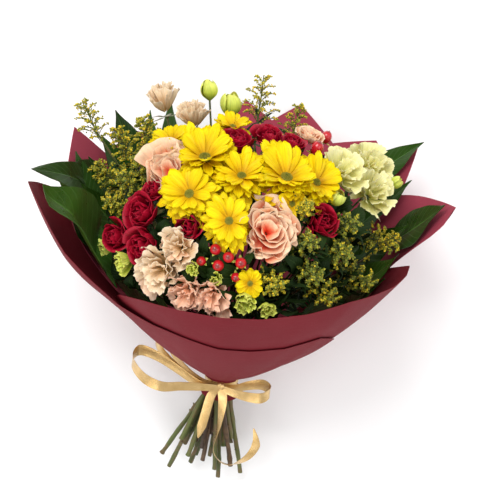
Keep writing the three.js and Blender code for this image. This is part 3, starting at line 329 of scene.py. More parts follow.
def set_walls(h):
    """The planes through the apex that part a head from the others near it."""
    walls = []
    for o in heads:
        angle = math.acos(min(1.0, float(o.bearing @ h.bearing)))
        if o is h or angle >= NEIGHBOUR_ANGLE:
            continue
        across = unit(np.cross(h.bearing, o.bearing))
        part = angle * h.radius / (h.radius + o.radius)
        edge = h.bearing * math.cos(part) + np.cross(across, h.bearing) * math.sin(part)
        walls.append(np.cross(across, edge))
    h.walls = np.array(walls)


for each in heads:
    set_walls(each)


def is_clear(h, points, slack):
    """Whether all the points stay in a head's room, which its neighbours let it leave by a little."""
    p = points.reshape(-1, 3)
    if np.max((p - APEX) @ h.walls.T) > slack:
        return False
    for a, b, radius in h.stems:
        span = b - a
        t = np.clip((p - a) @ span / (span @ span), 0, 1)
        if np.min(np.linalg.norm(a + t[:, None] * span - p, axis=1)) < radius:
            return False
    along, away = from_axis(p)
    inside = np.linalg.norm(away, axis=1) < bowl_radius(along) - BLOOM_LAYER + slack
    return bool(np.all(inside) and np.min(p[:, 2]) > LOWEST_PETAL)


def fitted(h, make, slack=2.5, scales=(1.16, 1.08, 1, 0.92, 0.84, 0.76, 0.68, 0.6, 0.52)):
    """A part of a head at the largest scale that stays in its room, or else at the smallest."""
    for scale in scales:
        grid = make(scale)
        if is_clear(h, h.world(grid), slack):
            return grid
    return make(scales[-1])


# Stems: each spray runs from its cut end through the tie to a fork, and from there to its heads

# The large leaves of the leafy stems: the stem, then foot and tip as angle round the axis and distance along
# it, and the width
LEAVES = [
    ("F1", (243, 178), (266, 230), 34), ("F1", (226, 188), (231, 250), 28),
    ("F1", (275, 142), (290, 256), 48), ("F1", (264, 92), (286, 132), 32),
    ("F2", (137, 192), (119, 274), 32), ("F2", (124, 168), (115, 234), 18),
    ("F2", (104, 168), (84, 262), 40),
]


def leaf_spot(leaf, t, inset=LEAF_LAYER):
    """A place on a large leaf's midrib, a share of the way from its foot to its tip."""
    _, foot, tip, _ = leaf
    t = np.asarray(t, float)
    return on_bowl(lerp(foot[0], tip[0], t), lerp(foot[1], tip[1], t), inset, inset)


class Spray:
    """One cut stem with all that it carries, and the way that it leans at the tie."""

    def __init__(self, name):
        self.name = name
        self.heads = [h for h in heads if h.spray == name]
        self.leaves = [leaf for leaf in LEAVES if stem_name(leaf[0]) == name]
        self.feet = [lerp(leaf_spot(f, 0.0), leaf_spot(f, 0.22), 0.15) for f in self.leaves]
        ends = [h.seat for h in self.heads] + self.feet
        bearing = unit(sum(unit(e - TIE) for e in ends))
        self.lean = [float(bearing @ d / (bearing @ AXIS)) * STEM_PITCH * 3.4 for d in (SIDE, FRONT)]


class Path:
    """A row of points that a stem runs through. The fixed ones stay where they are."""

    def __init__(self, owner, radius, points, fixed, head=None, leaf=None):
        self.owner, self.radius, self.head, self.leaf = owner, radius, head, leaf
        self.points = [np.array(p, float) for p in points]
        self.fixed = fixed


names = [h.spray for h in heads] + [stem_name(leaf[0]) for leaf in LEAVES]
sprays = [Spray(name) for name in dict.fromkeys(names)]


def hexagon_slots(rings):
    """The places of the stems in the bundle, in rings round the middle one."""
    slots = []
    for ring in range(rings):
        for k in range(6 * ring if ring else 1):
            side, step = divmod(k, max(ring, 1))
            begin, onwards = math.radians(60 * side), math.radians(60 * (side + 2))
            x = STEM_PITCH * (ring * math.cos(begin) + step * math.cos(onwards))
            y = STEM_PITCH * (ring * math.sin(begin) + step * math.sin(onwards))
            slots.append((x, y))
    return sorted(slots, key=lambda s: math.hypot(*s))


slots = hexagon_slots(4)[: len(sprays)]


def slot_miss(s, k):
    """How far a place in the bundle is from the side that a spray leans to."""
    return (s.lean[0] - slots[k][0]) ** 2 + (s.lean[1] - slots[k][1]) ** 2


for k, each in enumerate(sprays):
    each.slot = k
for _ in range(40):
    for s in sprays:
        for o in sprays:
            kept = slot_miss(s, s.slot) + slot_miss(o, o.slot)
            if slot_miss(s, o.slot) + slot_miss(o, s.slot) < kept - 1e-9:
                s.slot, o.slot = o.slot, s.slot


def sheaf_point(slot, along):
    """Below the tie the bundle turns and spreads like a twisted sheaf; above it, it only spreads."""
    x, y = slots[slot]
    t = along * STEM_SPREAD
    if along >= 0:
        return TIE + AXIS * along + (SIDE * x + FRONT * y) * math.sqrt(1 + t * t)
    flat = lerp(1, SHEAF_FLATNESS, smoothstep(-along, 20, 100))
    spot = TIE + SHEAF_LEAN * along + SIDE * (x - t * y) + FRONT * (y + t * x) * flat
    spot[2] = max(spot[2], STEM_RADIUS)
    return spot


def cut_length(slot):
    return lerp(*CUT_LENGTHS, ((slot * 7) % 11) / 10)


# How far below a head's seat its branch aims, passes under a bloom, and ends under a bud or berry
BRANCH_AIM = 12
BLOOM_DEPTHS = (16, 4.5, 0.1)
BUD_DEPTH = -2
paths = []
for s in sprays:
    fork = sheaf_point(s.slot, JUNCTION)
    low = [sheaf_point(s.slot, along) for along in (-cut_length(s.slot), -30, 0, 28)]
    s.trunk = Path(s.name, STEM_RADIUS, low + [fork], {0, 1, 2, 3})
    paths.append(s.trunk)
    s.branches = []
    for h in s.heads:
        middle = lerp(fork, h.below(BRANCH_AIM), 0.5)
        if h.kind in BLOOMS:
            points, fixed = [fork, middle, *map(h.below, BLOOM_DEPTHS)], {0, 3, 4}
        else:
            points, fixed = [fork, middle, h.below(BUD_DEPTH)], {0, 2}
        s.branches.append(Path(s.name, TWIG_RADIUS, points, fixed, head=h))
    for leaf, foot in zip(s.leaves, s.feet):
        s.branches.append(Path(s.name, TWIG_RADIUS, [fork, lerp(fork, foot, 0.5), foot], {0, 2}, leaf=leaf))
    paths.extend(s.branches)


def nearest_shares(a, b, c, d):
    """The nearest points of straight stretches a-b and c-d, as shares along each."""
    u, v, w = b - a, d - c, a - c
    uu, uv, vv, uw, vw = dot(u, u), dot(u, v), dot(v, v), dot(u, w), dot(v, w)
    det = uu * vv - uv * uv
    s = np.where(det > 1e-9, np.clip((uv * vw - vv * uw) / np.maximum(det, 1e-9), 0, 1), 0.5)
    t = np.clip((uv * s + vw) / vv, 0, 1)
    return np.clip((uv * t - uw) / uu, 0, 1), t


def keep_inside(point):
    """Moves a point of a stem in from the paper."""
    along, away = from_axis(point)
    room = float(bowl_radius(along)) - BLOOM_LAYER - 2
    reach = np.linalg.norm(away)
    if reach > room:
        point += away * (room / reach - 1)


# The share of a shortfall that each round moves, and the shortfall that may stay
EASE = 0.4
EASED = 0.02
# Stretches that come this much closer than they need to be apart are looked at one by one
MARGIN = 1.0


def ease_apart(rounds):
    """Stems of different sprays are eased apart until they clear each other."""
    stretches = [(p, a) for p in paths for a in range(len(p.points) - 1)]
    owners = np.array([spray_number(p.owner) for p, _ in stretches])
    radii = np.array([p.radius for p, _ in stretches])
    free = np.array([not {a, a + 1} <= p.fixed for p, a in stretches])
    first, second = np.triu_indices(len(stretches), 1)
    use = (owners[first] != owners[second]) & (free[first] | free[second])
    first, second = first[use], second[use]
    need = radii[first] + radii[second] + STEM_GAP
    for _ in range(rounds):
        starts = np.array([p.points[a] for p, a in stretches])
        ends = np.array([p.points[a + 1] for p, a in stretches])
        s, t = nearest_shares(starts[first], ends[first], starts[second], ends[second])
        gap = lerp(starts[first], ends[first], s[:, None]) - lerp(starts[second], ends[second], t[:, None])
        close = np.nonzero(np.linalg.norm(gap, axis=1) < need + MARGIN)[0]
        worst = 0
        for k in close:
            (p, a), (q, b) = stretches[first[k]], stretches[second[k]]
            p0, p1, q0, q1 = p.points[a], p.points[a + 1], q.points[b], q.points[b + 1]
            share, other = nearest_shares(p0, p1, q0, q1)
            apart = lerp(p0, p1, share) - lerp(q0, q1, other)
            length = np.linalg.norm(apart)
            short = need[k] - length
            if short <= 0:
                continue
            worst = max(worst, short)
            push = (apart / length if length > 1e-6 else SIDE) * short * EASE
            moves = ((p, a, 1 - share), (p, a + 1, share), (q, b, other - 1), (q, b + 1, -other))
            for path, spot, part in moves:
                if spot not in path.fixed:
                    path.points[spot] += push * part
        for path in paths:
            for k, point in enumerate(path.points):
                if k not in path.fixed:
                    keep_inside(point)
        if worst < EASED:
            return


def spray_number(name):
    return [s.name for s in sprays].index(name)


ease_apart(150)

# The stems near each head, which its petals keep clear of
for h in heads:
    for path in paths:
        if path.head is h:
            continue
        for a, b in zip(path.points, path.points[1:]):
            t = np.clip((h.middle - a) @ (b - a) / ((b - a) @ (b - a)), 0, 1)
            if np.linalg.norm(lerp(a, b, t) - h.middle) < h.radius * 2.4 + 6:
                h.stems.append((a, b, path.radius))


# Meshes

class Pile:
    """The points, faces and paint of one piece. Paint is how far along and across, and a chance value."""

    def __init__(self):
        self.points, self.paint, self.quads, self.tris = [], [], [], []
        self.count = 0

    def add(self, points, paint, quads=(), tris=()):
        self.points.append(np.asarray(points, float).reshape(-1, 3))
        self.paint.append(np.asarray(paint, float).reshape(-1, 3))
        if len(quads):
            self.quads.append(np.asarray(quads, int) + self.count)
        if len(tris):
            self.tris.append(np.asarray(tris, int) + self.count)
        self.count += len(self.points[-1])

    def mesh(self, name, material, sharp=50):
        points = (np.concatenate(self.points) + SHIFT) * METRES
        quads = np.concatenate(self.quads) if self.quads else np.zeros((0, 4), int)
        tris = np.concatenate(self.tris) if self.tris else np.zeros((0, 3), int)
        mesh = bpy.data.meshes.new(name)
        mesh.vertices.add(len(points))
        mesh.vertices.foreach_set("co", points.astype(np.float32).ravel())
        corners = np.concatenate([quads.ravel(), tris.ravel()])
        mesh.loops.add(len(corners))
        mesh.loops.foreach_set("vertex_index", corners.astype(np.int32))
        sizes = np.concatenate([np.full(len(quads), 4), np.full(len(tris), 3)])
        mesh.polygons.add(len(sizes))
        mesh.polygons.foreach_set("loop_start", (np.cumsum(sizes) - sizes).astype(np.int32))
        mesh.polygons.foreach_set("loop_total", sizes.astype(np.int32))
        mesh.polygons.foreach_set("use_smooth", np.ones(len(sizes), bool))
        mesh.update(calc_edges=True)
        colour = mesh.attributes.new("paint", "FLOAT_COLOR", "POINT")
        paint = np.concatenate(self.paint)
        colour.data.foreach_set("color", np.c_[paint, np.ones(len(paint))].astype(np.float32).ravel())
        mesh.materials.append(material)
        mesh.set_sharp_from_angle(angle=math.radians(sharp))
        return mesh


def normals_of(grid):
    """The direction that a grid of points faces at each of them."""
    down = np.gradient(grid, axis=0)
    across = np.gradient(grid, axis=1)
    n = np.cross(across, down)
    return n / np.maximum(np.linalg.norm(n, axis=-1, keepdims=True), 1e-9)


def grid_paint(rows, columns, chance):
    v, u = np.meshgrid(np.linspace(0, 1, rows), np.linspace(0, 1, columns), indexing="ij")
    return np.stack([v, u, np.full_like(v, chance)], -1)


# The corners of the faces of a grid of points, in order round each face
FROM, TO = slice(None, -1), slice(1, None)
SHEET_CORNERS = ((FROM, FROM), (FROM, TO), (TO, TO), (TO, FROM))


def add_sheet(pile, grid, thickness, chance=0.5, edge=0.45, paint=None):
    """A thin closed sheet about a grid of points, thinner along its edges."""
    rows, columns, _ = grid.shape
    offset = normals_of(grid) * thickness / 2
    rim = np.ones((rows, columns, 1))
    rim[[0, -1]] = rim[:, [0, -1]] = edge
    paint = grid_paint(rows, columns, chance) if paint is None else paint
    index = np.arange(rows * columns).reshape(rows, columns)
    a, b, c, d = (index[i, j].ravel() for i, j in SHEET_CORNERS)
    size = rows * columns
    border = np.concatenate([index[0, :-1], index[:-1, -1], index[-1, :0:-1], index[:0:-1, 0]])
    after = np.roll(border, -1)
    top, bottom = np.stack([a, b, c, d], 1), np.stack([a, d, c, b], 1) + size
    sides = np.stack([border, border + size, after + size, after], 1)
    quads = np.concatenate([top, bottom, sides])
    pile.add(np.concatenate([grid + offset * rim, grid - offset * rim]).reshape(-1, 3), [paint, paint], quads)


def closed_faces(rings, sides):
    """The faces over rings of points, closed at each end on a pole. The two poles come last."""
    index = np.arange(rings * sides).reshape(rings, sides)
    after = np.roll(index, -1, axis=1)
    quads = np.stack([index[:-1].ravel(), after[:-1].ravel(), after[1:].ravel(), index[1:].ravel()], 1)
    first = np.stack([np.full(sides, index.size), after[0], index[0]], 1)
    last = np.stack([np.full(sides, index.size + 1), index[-1], after[-1]], 1)
    return quads, np.concatenate([first, last])


def along_curve(points, shares):
    """A smooth curve through points, at shares of its way from 0 to 1."""
    p = np.asarray(points, float)
    last = len(p) - 1
    at = np.clip(np.asarray(shares, float), 0, 1) * last
    k = np.minimum(at.astype(int), last - 1)
    t = (at - k)[..., None]
    before, a, b, after = p[np.maximum(k - 1, 0)], p[k], p[k + 1], p[np.minimum(k + 2, last)]
    square = 2 * before - 5 * a + 4 * b - after
    cube = 3 * a - before - 3 * b + after
    return 0.5 * (2 * a + (b - before) * t + square * t**2 + cube * t**3)


# The paint across a rod's end, past that of its sides
CUT_END = 2.0


def add_tube(pile, points, radii, sides=8, chance=0.5, wobble=0.0):
    """A round closed rod along points."""
    p = np.asarray(points, float)
    n = len(p)
    onwards = unit(np.gradient(p, axis=0))
    radii = np.broadcast_to(np.asarray(radii, float), (n,))
    side = unit(np.cross(onwards[0], vec(0.36, 0.48, 0.8)))
    rings = []
    for k in range(n):
        side = unit(side - onwards[k] * (side @ onwards[k]))
        other = np.cross(onwards[k], side)
        a = np.arange(sides) * TURN / sides
        bulge = 1 + wobble * np.sin(3 * a + k * 0.9)
        spokes = side * np.cos(a)[:, None] + other * np.sin(a)[:, None]
        rings.append(p[k] + spokes * (radii[k] * bulge)[:, None])
    v = np.repeat(np.linspace(0, 1, n), sides)
    u = np.tile(np.linspace(0, 1, sides), n)
    paint = np.stack([np.r_[v, 0, 1], np.r_[u, CUT_END, CUT_END], np.full(n * sides + 2, chance)], 1)
    pile.add(np.concatenate(rings + [p[:1], p[-1:]]), paint, *closed_faces(n, sides))


def turned_form(out, up, low, high, sides):
    """A closed form about +Z: a ring of each radius at its height, between two poles."""
    a = np.arange(sides) * TURN / sides
    ring = np.stack([np.outer(out, np.cos(a)), np.outer(out, np.sin(a))], -1)
    z = np.repeat(np.reshape(up, (-1, 1)), sides, 1)[..., None]
    points = np.concatenate([np.concatenate([ring, z], -1).reshape(-1, 3), [[0, 0, low], [0, 0, high]]])
    return points, *closed_faces(len(out), sides)


def frames_of(axes):
    """Two directions across each of a row of axes."""
    axes = unit(axes)
    helper = np.where(np.abs(axes[:, 2:]) < 0.9, UP, vec(1, 0, 0))
    first = unit(np.cross(helper, axes))
    return first, np.cross(axes, first), axes


def add_beads(pile, centres, axes, radius, half_length, chance, around=6, rounds=4):
    """Many small balls, each stretched along its own axis."""
    v = np.linspace(0, math.pi, rounds + 1)[1:-1]
    points, quads, tris = turned_form(np.sin(v), -np.cos(v), -1, 1, around)
    centres = np.asarray(centres, float)
    k, m = len(centres), len(points)
    x, y, z = frames_of(np.asarray(axes, float))
    radius = np.broadcast_to(radius, (k,))[:, None, None]
    half_length = np.broadcast_to(half_length, (k,))[:, None, None]
    made = centres[:, None] + (x[:, None] * points[:, :1] + y[:, None] * points[:, 1:2]) * radius
    made = made + z[:, None] * points[:, 2:] * half_length
    steps = (np.arange(k) * m)[:, None, None]
    paint = np.empty((k, m, 3))
    paint[..., 0] = (points[:, 2] + 1) / 2
    paint[..., 1] = 0.5
    paint[..., 2] = np.broadcast_to(chance, (k,))[:, None]
    pile.add(made.reshape(-1, 3), paint, (quads + steps).reshape(-1, 4), (tris + steps).reshape(-1, 3))


# Looks: node materials fed by the paint of the pieces

class Look:
    """A material under construction, with short names for its nodes."""

    def __init__(self, name, **sockets):
        self.material = bpy.data.materials.new(name)
        self.material.use_nodes = True
        self.tree = self.material.node_tree
        self.shader = next(n for n in self.tree.nodes if n.type == "BSDF_PRINCIPLED")
        for socket, value in sockets.items():
            self.shader.inputs[socket.replace("_", " ")].default_value = value
        paint = self.node("ShaderNodeAttribute", {"attribute_name": "paint"})
        parts = self.node("ShaderNodeSeparateColor", Color=paint.outputs["Color"])
        self.along, self.across, self.chance = (parts.outputs[c] for c in ("Red", "Green", "Blue"))
        self.place = self.node("ShaderNodeTexCoord").outputs["Object"]

    def node(self, kind, settings=None, **inputs):
        made = self.tree.nodes.new(kind)
        for key, value in (settings or {}).items():
            setattr(made, key, value)
        for key, value in inputs.items():
            self.feed(made.inputs[key.replace("_", " ")], value)
        return made

    def feed(self, socket, value):
        if isinstance(value, bpy.types.NodeSocket):
            self.tree.links.new(value, socket)
        else:
            socket.default_value = value

    def maths(self, operation, a, b=0.0, c=0.0):
        made = self.node("ShaderNodeMath", {"operation": operation})
        for socket, value in zip(made.inputs, (a, b, c)):
            self.feed(socket, value)
        return made.outputs[0]

    def times(self, a, b):
        return self.maths("MULTIPLY", a, b)

    def plus(self, a, b):
        return self.maths("ADD", a, b)

    def minus(self, a, b):
        return self.maths("SUBTRACT", a, b)

    def from_half(self, value):
        return self.maths("ABSOLUTE", self.minus(value, 0.5))

    def noise(self, scale, detail=3.0, where=None, roughness=0.5):
        made = self.node("ShaderNodeTexNoise", Scale=scale, Detail=detail, Roughness=roughness)
        self.feed(made.inputs["Vector"], where or self.place)
        return made.outputs["Fac"]

    def streaks(self, across_scale, along_scale, detail=2.0):
        """Noise drawn out along the piece."""
        where = self.node("ShaderNodeCombineXYZ")
        self.feed(where.inputs[0], self.times(self.across, across_scale))
        self.feed(where.inputs[1], self.times(self.along, along_scale))
        self.feed(where.inputs[2], self.times(self.chance, 37.0))
        return self.noise(1.0, detail, where.outputs[0])

    def ramp(self, factor, *stops):
        made = self.node("ShaderNodeValToRGB", Fac=factor)
        ramp = made.color_ramp
        while len(ramp.elements) < len(stops):
            ramp.elements.new(0.5)
        for element, (at, colour) in zip(ramp.elements, stops):
            element.position = at
            element.color = (*colour, 1)
        return made.outputs["Color"]

    def blend(self, factor, a, b, mode="MIX"):
        made = self.node("ShaderNodeMix", {"data_type": "RGBA", "blend_type": mode})
        for key, value in ((0, factor), (6, a), (7, b)):
            self.feed(made.inputs[key], (*value, 1) if isinstance(value, tuple) else value)
        return made.outputs[2]

    def shaded(self, colour, shade):
        """The colour times a grey."""
        return self.blend(1.0, colour, self.ramp(shade, (0.0, (0, 0, 0)), (1.0, (1, 1, 1))), "MULTIPLY")

    def span(self, value, low, high, to_low=0.0, to_high=1.0):
        made = self.node("ShaderNodeMapRange", Value=value)
        for key, number in (("From Min", low), ("From Max", high), ("To Min", to_low), ("To Max", to_high)):
            made.inputs[key].default_value = number
        return made.outputs[0]

    def uneven(self, noise, low, high):
        """A value from low to high over the range that a noise mostly has."""
        return self.span(noise, 0.3, 0.7, low, high)

    def finish(self, colour, roughness=None, height=None, distance=0.0003, strength=1.0):
        self.feed(self.shader.inputs["Base Color"], colour)
        if roughness is not None:
            self.feed(self.shader.inputs["Roughness"], roughness)
        if height is not None:
            bump = self.node("ShaderNodeBump", Height=height, Distance=distance, Strength=strength)
            self.feed(self.shader.inputs["Normal"], bump.outputs["Normal"])
        return self.material


def petal_look(
    name, root, middle, brim, streak=0.25, roughness=0.55, stops=(0.0, 0.45, 1.0), veins=16.0, deep=0.86,
    fade=0.0, tint=None, shine=0.25,
):
    """Petals: a blend from root to brim, fine lengthwise veins, and a little difference between petals."""
    look = Look(name, Subsurface_Weight=0.1, Subsurface_Scale=0.004, Specular_IOR_Level=shine)
    look.shader.inputs["Subsurface Radius"].default_value = (1.0, 0.5, 0.25)
    mottled = look.noise(90.0, 4.0)
    along = look.plus(look.along, look.times(look.minus(mottled, 0.5), 0.35))
    along = look.plus(along, look.span(look.chance, 0.4, 0.6, 0.0, fade))
    colour = look.ramp(along, *zip(stops, (root, middle, brim)))
    if tint:
        colour = look.blend(look.span(look.chance, 0.45, 0.55, 0.0, 0.5), colour, tint)
    veined = look.streaks(veins, 1.6)
    colour = look.shaded(colour, look.span(veined, 0.35, 0.65, 1 - streak, 1.0))
    colour = look.shaded(colour, look.span(look.chance, 0.0, 1.0, deep, 1.1))
    rough = look.uneven(mottled, roughness - 0.08, roughness + 0.08)
    return look.finish(colour, rough, veined, 0.0004, 0.6)


def leaf_look(name, dark, light, roughness=0.32, shine=0.35):
    """Glossy leaves: a pale midrib, side veins that slant to the tip, and mottled green between."""
    look = Look(name, Specular_IOR_Level=shine)
    side = look.from_half(look.across)
    slant = look.minus(look.times(look.along, 11.0), look.times(side, 5.0))
    wave = look.from_half(look.maths("FRACT", slant))
    vein = look.span(wave, 0.0, 0.09, 1.0, 0.0)
    rib = look.span(side, 0.0, 0.035, 1.0, 0.0)
    lines = look.maths("MAXIMUM", look.times(vein, 0.45), rib)
    mottled = look.noise(60.0, 5.0)
    tone = look.plus(look.times(look.chance, 0.6), look.times(mottled, 0.5))
    colour = look.ramp(tone, (0.15, dark), (0.95, light))
    pale = tuple(min(1.0, c * 2.2 + 0.02) for c in light)
    colour = look.blend(look.times(lines, 0.55), colour, pale)
    rough = look.uneven(mottled, roughness - 0.06, roughness + 0.1)
    height = look.minus(look.times(mottled, 0.3), lines)
    return look.finish(colour, rough, height, 0.0005, 0.7)


def stem_look():
    look = Look("fresh_stem", Specular_IOR_Level=0.35)
    lengthwise = look.streaks(14.0, 5.0, 4.0)
    patches = look.noise(60.0, 5.0, roughness=0.65)
    green = look.ramp(
        look.chance,
        (0.0, (0.045, 0.07, 0.012)),
        (0.3, (0.11, 0.14, 0.03)),
        (0.55, (0.16, 0.15, 0.06)),
        (0.7, (0.07, 0.09, 0.02)),
        (0.85, (0.1, 0.06, 0.035)),
        (1.0, (0.045, 0.028, 0.02)),
    )
    colour = look.blend(look.span(patches, 0.48, 0.62, 0.0, 0.75), green, (0.2, 0.12, 0.06))
    colour = look.shaded(colour, look.uneven(lengthwise, 0.65, 1.1))
    cut = look.span(look.across, 1.2, 1.6, 0.0, 1.0)
    colour = look.blend(cut, colour, (0.42, 0.4, 0.2))
    return look.finish(colour, look.uneven(patches, 0.42, 0.62), lengthwise, 0.0003, 0.7)


def bud_look():
    look = Look("green_bud", Subsurface_Weight=0.1, Subsurface_Scale=0.004, Specular_IOR_Level=0.3)
    lengthwise = look.streaks(18.0, 2.0, 3.0)
    green = (0.0, (0.3, 0.42, 0.04)), (0.4, (0.62, 0.7, 0.07)), (1.0, (0.85, 0.86, 0.18))
    colour = look.ramp(look.along, *green)
    colour = look.shaded(colour, look.uneven(lengthwise, 0.7, 1.05))
    return look.finish(colour, look.uneven(lengthwise, 0.4, 0.6), lengthwise, 0.0005, 0.6)


def disc_look():
    look = Look("flower_disc")
    grains = look.noise(900.0, 3.0)
    ochre = (0.0, (0.14, 0.15, 0.01)), (0.6, (0.31, 0.28, 0.02)), (1.0, (0.5, 0.38, 0.02))
    colour = look.ramp(look.chance, *ochre)
    return look.finish(colour, look.uneven(grains, 0.6, 0.85), grains, 0.0002, 0.6)


def floret_look():
    look = Look("goldenrod_floret", Subsurface_Weight=0.1, Subsurface_Scale=0.002)
    grains = look.noise(600.0, 2.0)
    own = look.ramp(
        look.chance,
        (0.0, (0.08, 0.11, 0.01)),
        (0.4, (0.22, 0.24, 0.014)),
        (0.7, (0.44, 0.38, 0.015)),
        (1.0, (0.85, 0.58, 0.015)),
    )
    colour = look.blend(look.span(look.along, 0.0, 0.5, 0.6, 0.0), own, (0.06, 0.09, 0.012))
    return look.finish(colour, look.uneven(grains, 0.5, 0.7), grains, 0.0002, 0.5)


def berry_look():
    look = Look("red_berry", Coat_Weight=0.3, Coat_Roughness=0.2)
    mottled = look.noise(160.0, 3.0)
    colour = look.ramp(
        look.along,
        (0.0, (0.3, 0.01, 0.01)),
        (0.25, (0.52, 0.008, 0.015)),
        (0.9, (0.6, 0.01, 0.02)),
        (1.0, (0.1, 0.02, 0.01)),
    )
    colour = look.blend(look.span(mottled, 0.4, 0.8, 0.0, 0.4), colour, (0.35, 0.004, 0.01))
    return look.finish(colour, look.uneven(mottled, 0.16, 0.28), mottled, 0.0002, 0.3)


def paper_look():
    """Dyed wrapping paper: cloudy colour, short fibres and a fine tooth. The back sheets are painted paler:
    painted light.
    """
    look = Look("crimson_paper", Specular_IOR_Level=0.15)
    clouds = look.noise(9.0, 5.0)
    tooth = look.noise(1400.0, 3.0)
    stretched = look.node("ShaderNodeMapping", Vector=look.place)
    stretched.inputs["Scale"].default_value = (60.0, 420.0, 420.0)
    fibres = look.noise(1.0, 4.0, stretched.outputs[0], 0.7)
    colour = look.ramp(clouds, (0.25, (0.15, 0.009, 0.015)), (0.75, (0.185, 0.013, 0.021)))
    colour = look.blend(look.span(fibres, 0.56, 0.72, 0.0, 0.35), colour, (0.24, 0.03, 0.042))
    colour = look.blend(look.span(fibres, 0.26, 0.4, 0.35, 0.0), colour, (0.1, 0.006, 0.011))
    # Painted light: the back sheets are blended towards the paler colour of their lit points.
    painted_light_on_back_sheets = look.span(look.chance, 0.5, 0.7, 0.0, 0.8)
    colour = look.blend(painted_light_on_back_sheets, colour, (0.46, 0.07, 0.115))
    height = look.plus(look.times(tooth, 0.4), look.times(fibres, 0.6))
    creases = look.from_half(look.noise(16.0, 2.0))
    height = look.plus(height, look.times(creases, 14.0))
    return look.finish(colour, look.uneven(tooth, 0.66, 0.84), height, 0.00025, 0.5)


def ribbon_look():
    """Satin ribbon: fine lengthwise threads."""
    look = Look("gold_ribbon", Metallic=0.85, Coat_Weight=0.4, Coat_Roughness=0.15)
    threads = look.maths("SINE", look.times(look.across, 150.0))
    clouds = look.noise(120.0, 2.0)
    colour = look.ramp(clouds, (0.2, (0.58, 0.37, 0.13)), (0.8, (0.78, 0.54, 0.24)))
    colour = look.blend(look.span(threads, -1.0, 1.0, 0.22, 0.0), colour, (0.5, 0.3, 0.1))
    return look.finish(colour, look.span(threads, -1.0, 1.0, 0.3, 0.2), threads, 0.00008, 0.25)


def twine_look():
    look = Look("twine")
    strands = look.maths("SINE", look.plus(look.times(look.along, 900.0), look.times(look.across, TURN * 3)))
    colour = look.blend(look.span(strands, -1.0, 1.0, 0.0, 1.0), (0.24, 0.16, 0.07), (0.46, 0.34, 0.18))
    return look.finish(colour, look.span(strands, -1.0, 1.0, 0.9, 0.75), strands, 0.0003, 0.8)


YELLOW = petal_look(
    "chrysanthemum_petal", (0.66, 0.33, 0.002), (0.93, 0.62, 0.003), (0.96, 0.75, 0.004), streak=0.2,
    roughness=0.5, stops=(0.0, 0.35, 0.9), veins=9.0, deep=0.84, shine=0.12,
)
# Rose petals are nearly black at their roots: painted shade deep in the heart of the bloom. Their paler rims
# are partly the petals' own colour, partly painted highlight.
RED = petal_look(
    "rose_petal", (0.05, 0.0, 0.004), (0.28, 0.0, 0.012), (0.48, 0.004, 0.03), roughness=0.5,
    stops=(0.1, 0.5, 1.0),
)
PEACH = petal_look(
    "garden_rose_petal", (0.95, 0.1, 0.045), (0.98, 0.4, 0.23), (1.0, 0.72, 0.49), streak=0.14,
    stops=(0.28, 0.64, 1.0), fade=0.3,
)
BEIGE = petal_look(
    "lisianthus_petal", (0.5, 0.3, 0.08), (0.84, 0.57, 0.32), (0.97, 0.78, 0.56), streak=0.1, roughness=0.6,
    tint=(0.95, 0.42, 0.3),
)
CREAMY = petal_look(
    "cream_petal", (0.36, 0.4, 0.05), (0.78, 0.73, 0.25), (0.95, 0.9, 0.5), streak=0.12, roughness=0.6
)
DISC = disc_look()
BUD = bud_look()
STEM = stem_look()
LEAF = leaf_look("large_leaf", (0.006, 0.026, 0.002), (0.035, 0.1, 0.008))
# The small leaves in the gaps and on the goldenrod are much darker than the large ones: partly a deeper green
# of their own, partly painted shade of the gaps between the blooms.
SHADED_FOLIAGE = leaf_look("small_leaf", (0.003, 0.01, 0.002), (0.018, 0.042, 0.005), 0.6, 0.12)
FLORET = floret_look()
BERRY = berry_look()
PAPER = paper_look()
RIBBON = ribbon_look()
TWINE = twine_look()


def piece(pile, name, material, slot, *nodes, sharp=50):
    """A finished piece that rides with the bouquet and stands for the named solids."""
    made = bpy.data.objects.new(name, pile.mesh(name, material, sharp))
    bpy.context.collection.objects.link(made)
    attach(made, "root")
    if nodes:
        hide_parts(*nodes)


# Blooms, each in its own frame: its seat at the origin, +Z the way it faces

def strap_petal(rows, columns, root, length, half, angle, slope, curl, rng):
    """A chrysanthemum's petal: a long strap with a blunt notched tip and two shallow grooves."""
    v = np.linspace(0, 1, rows) ** 0.8
    u = np.linspace(-1, 1, columns)
    widen = 0.36 + 0.64 * np.sin(np.clip(v / 0.68, 0, 1) * math.pi / 2)
    narrow = np.sqrt(np.clip(1 - (np.clip((v - 0.7) / 0.31, 0, 1)) ** 2.4, 0.02, 1))
    wide = (half * widen * narrow)[:, None] * u
    pitch = slope - curl * v
    step = np.diff(v, prepend=0) * length
    run = root + np.cumsum(np.cos(pitch) * step)
    rise = np.cumsum(np.sin(pitch) * step)
    notch = 0.05 * length * (v**6)[:, None] * (np.cos(u * 3 * math.pi) * 0.5 - 0.5)
    sway = rng.normal(0, 0.05) * length * (v**2)[:, None]
    groove = half * 0.16 * (1 - np.cos(u * 2 * math.pi)) / 2
    channel = half * 0.3 * u**2
    skew = half * 0.5 * rng.normal(0, 0.35) * v[:, None] ** 2 * u
    lift = (channel - groove)[None, :] * widen[:, None] + skew
    local = np.stack([run[:, None] + notch, wide + sway, rise[:, None] + lift], -1)
    return local @ np.array([level(angle), level(angle + TURN / 4), UP])


# How much more the petals of a head that turns to the axis stand up, in degrees
CUPPING = 24
DAISY_GRID = (8, 7)
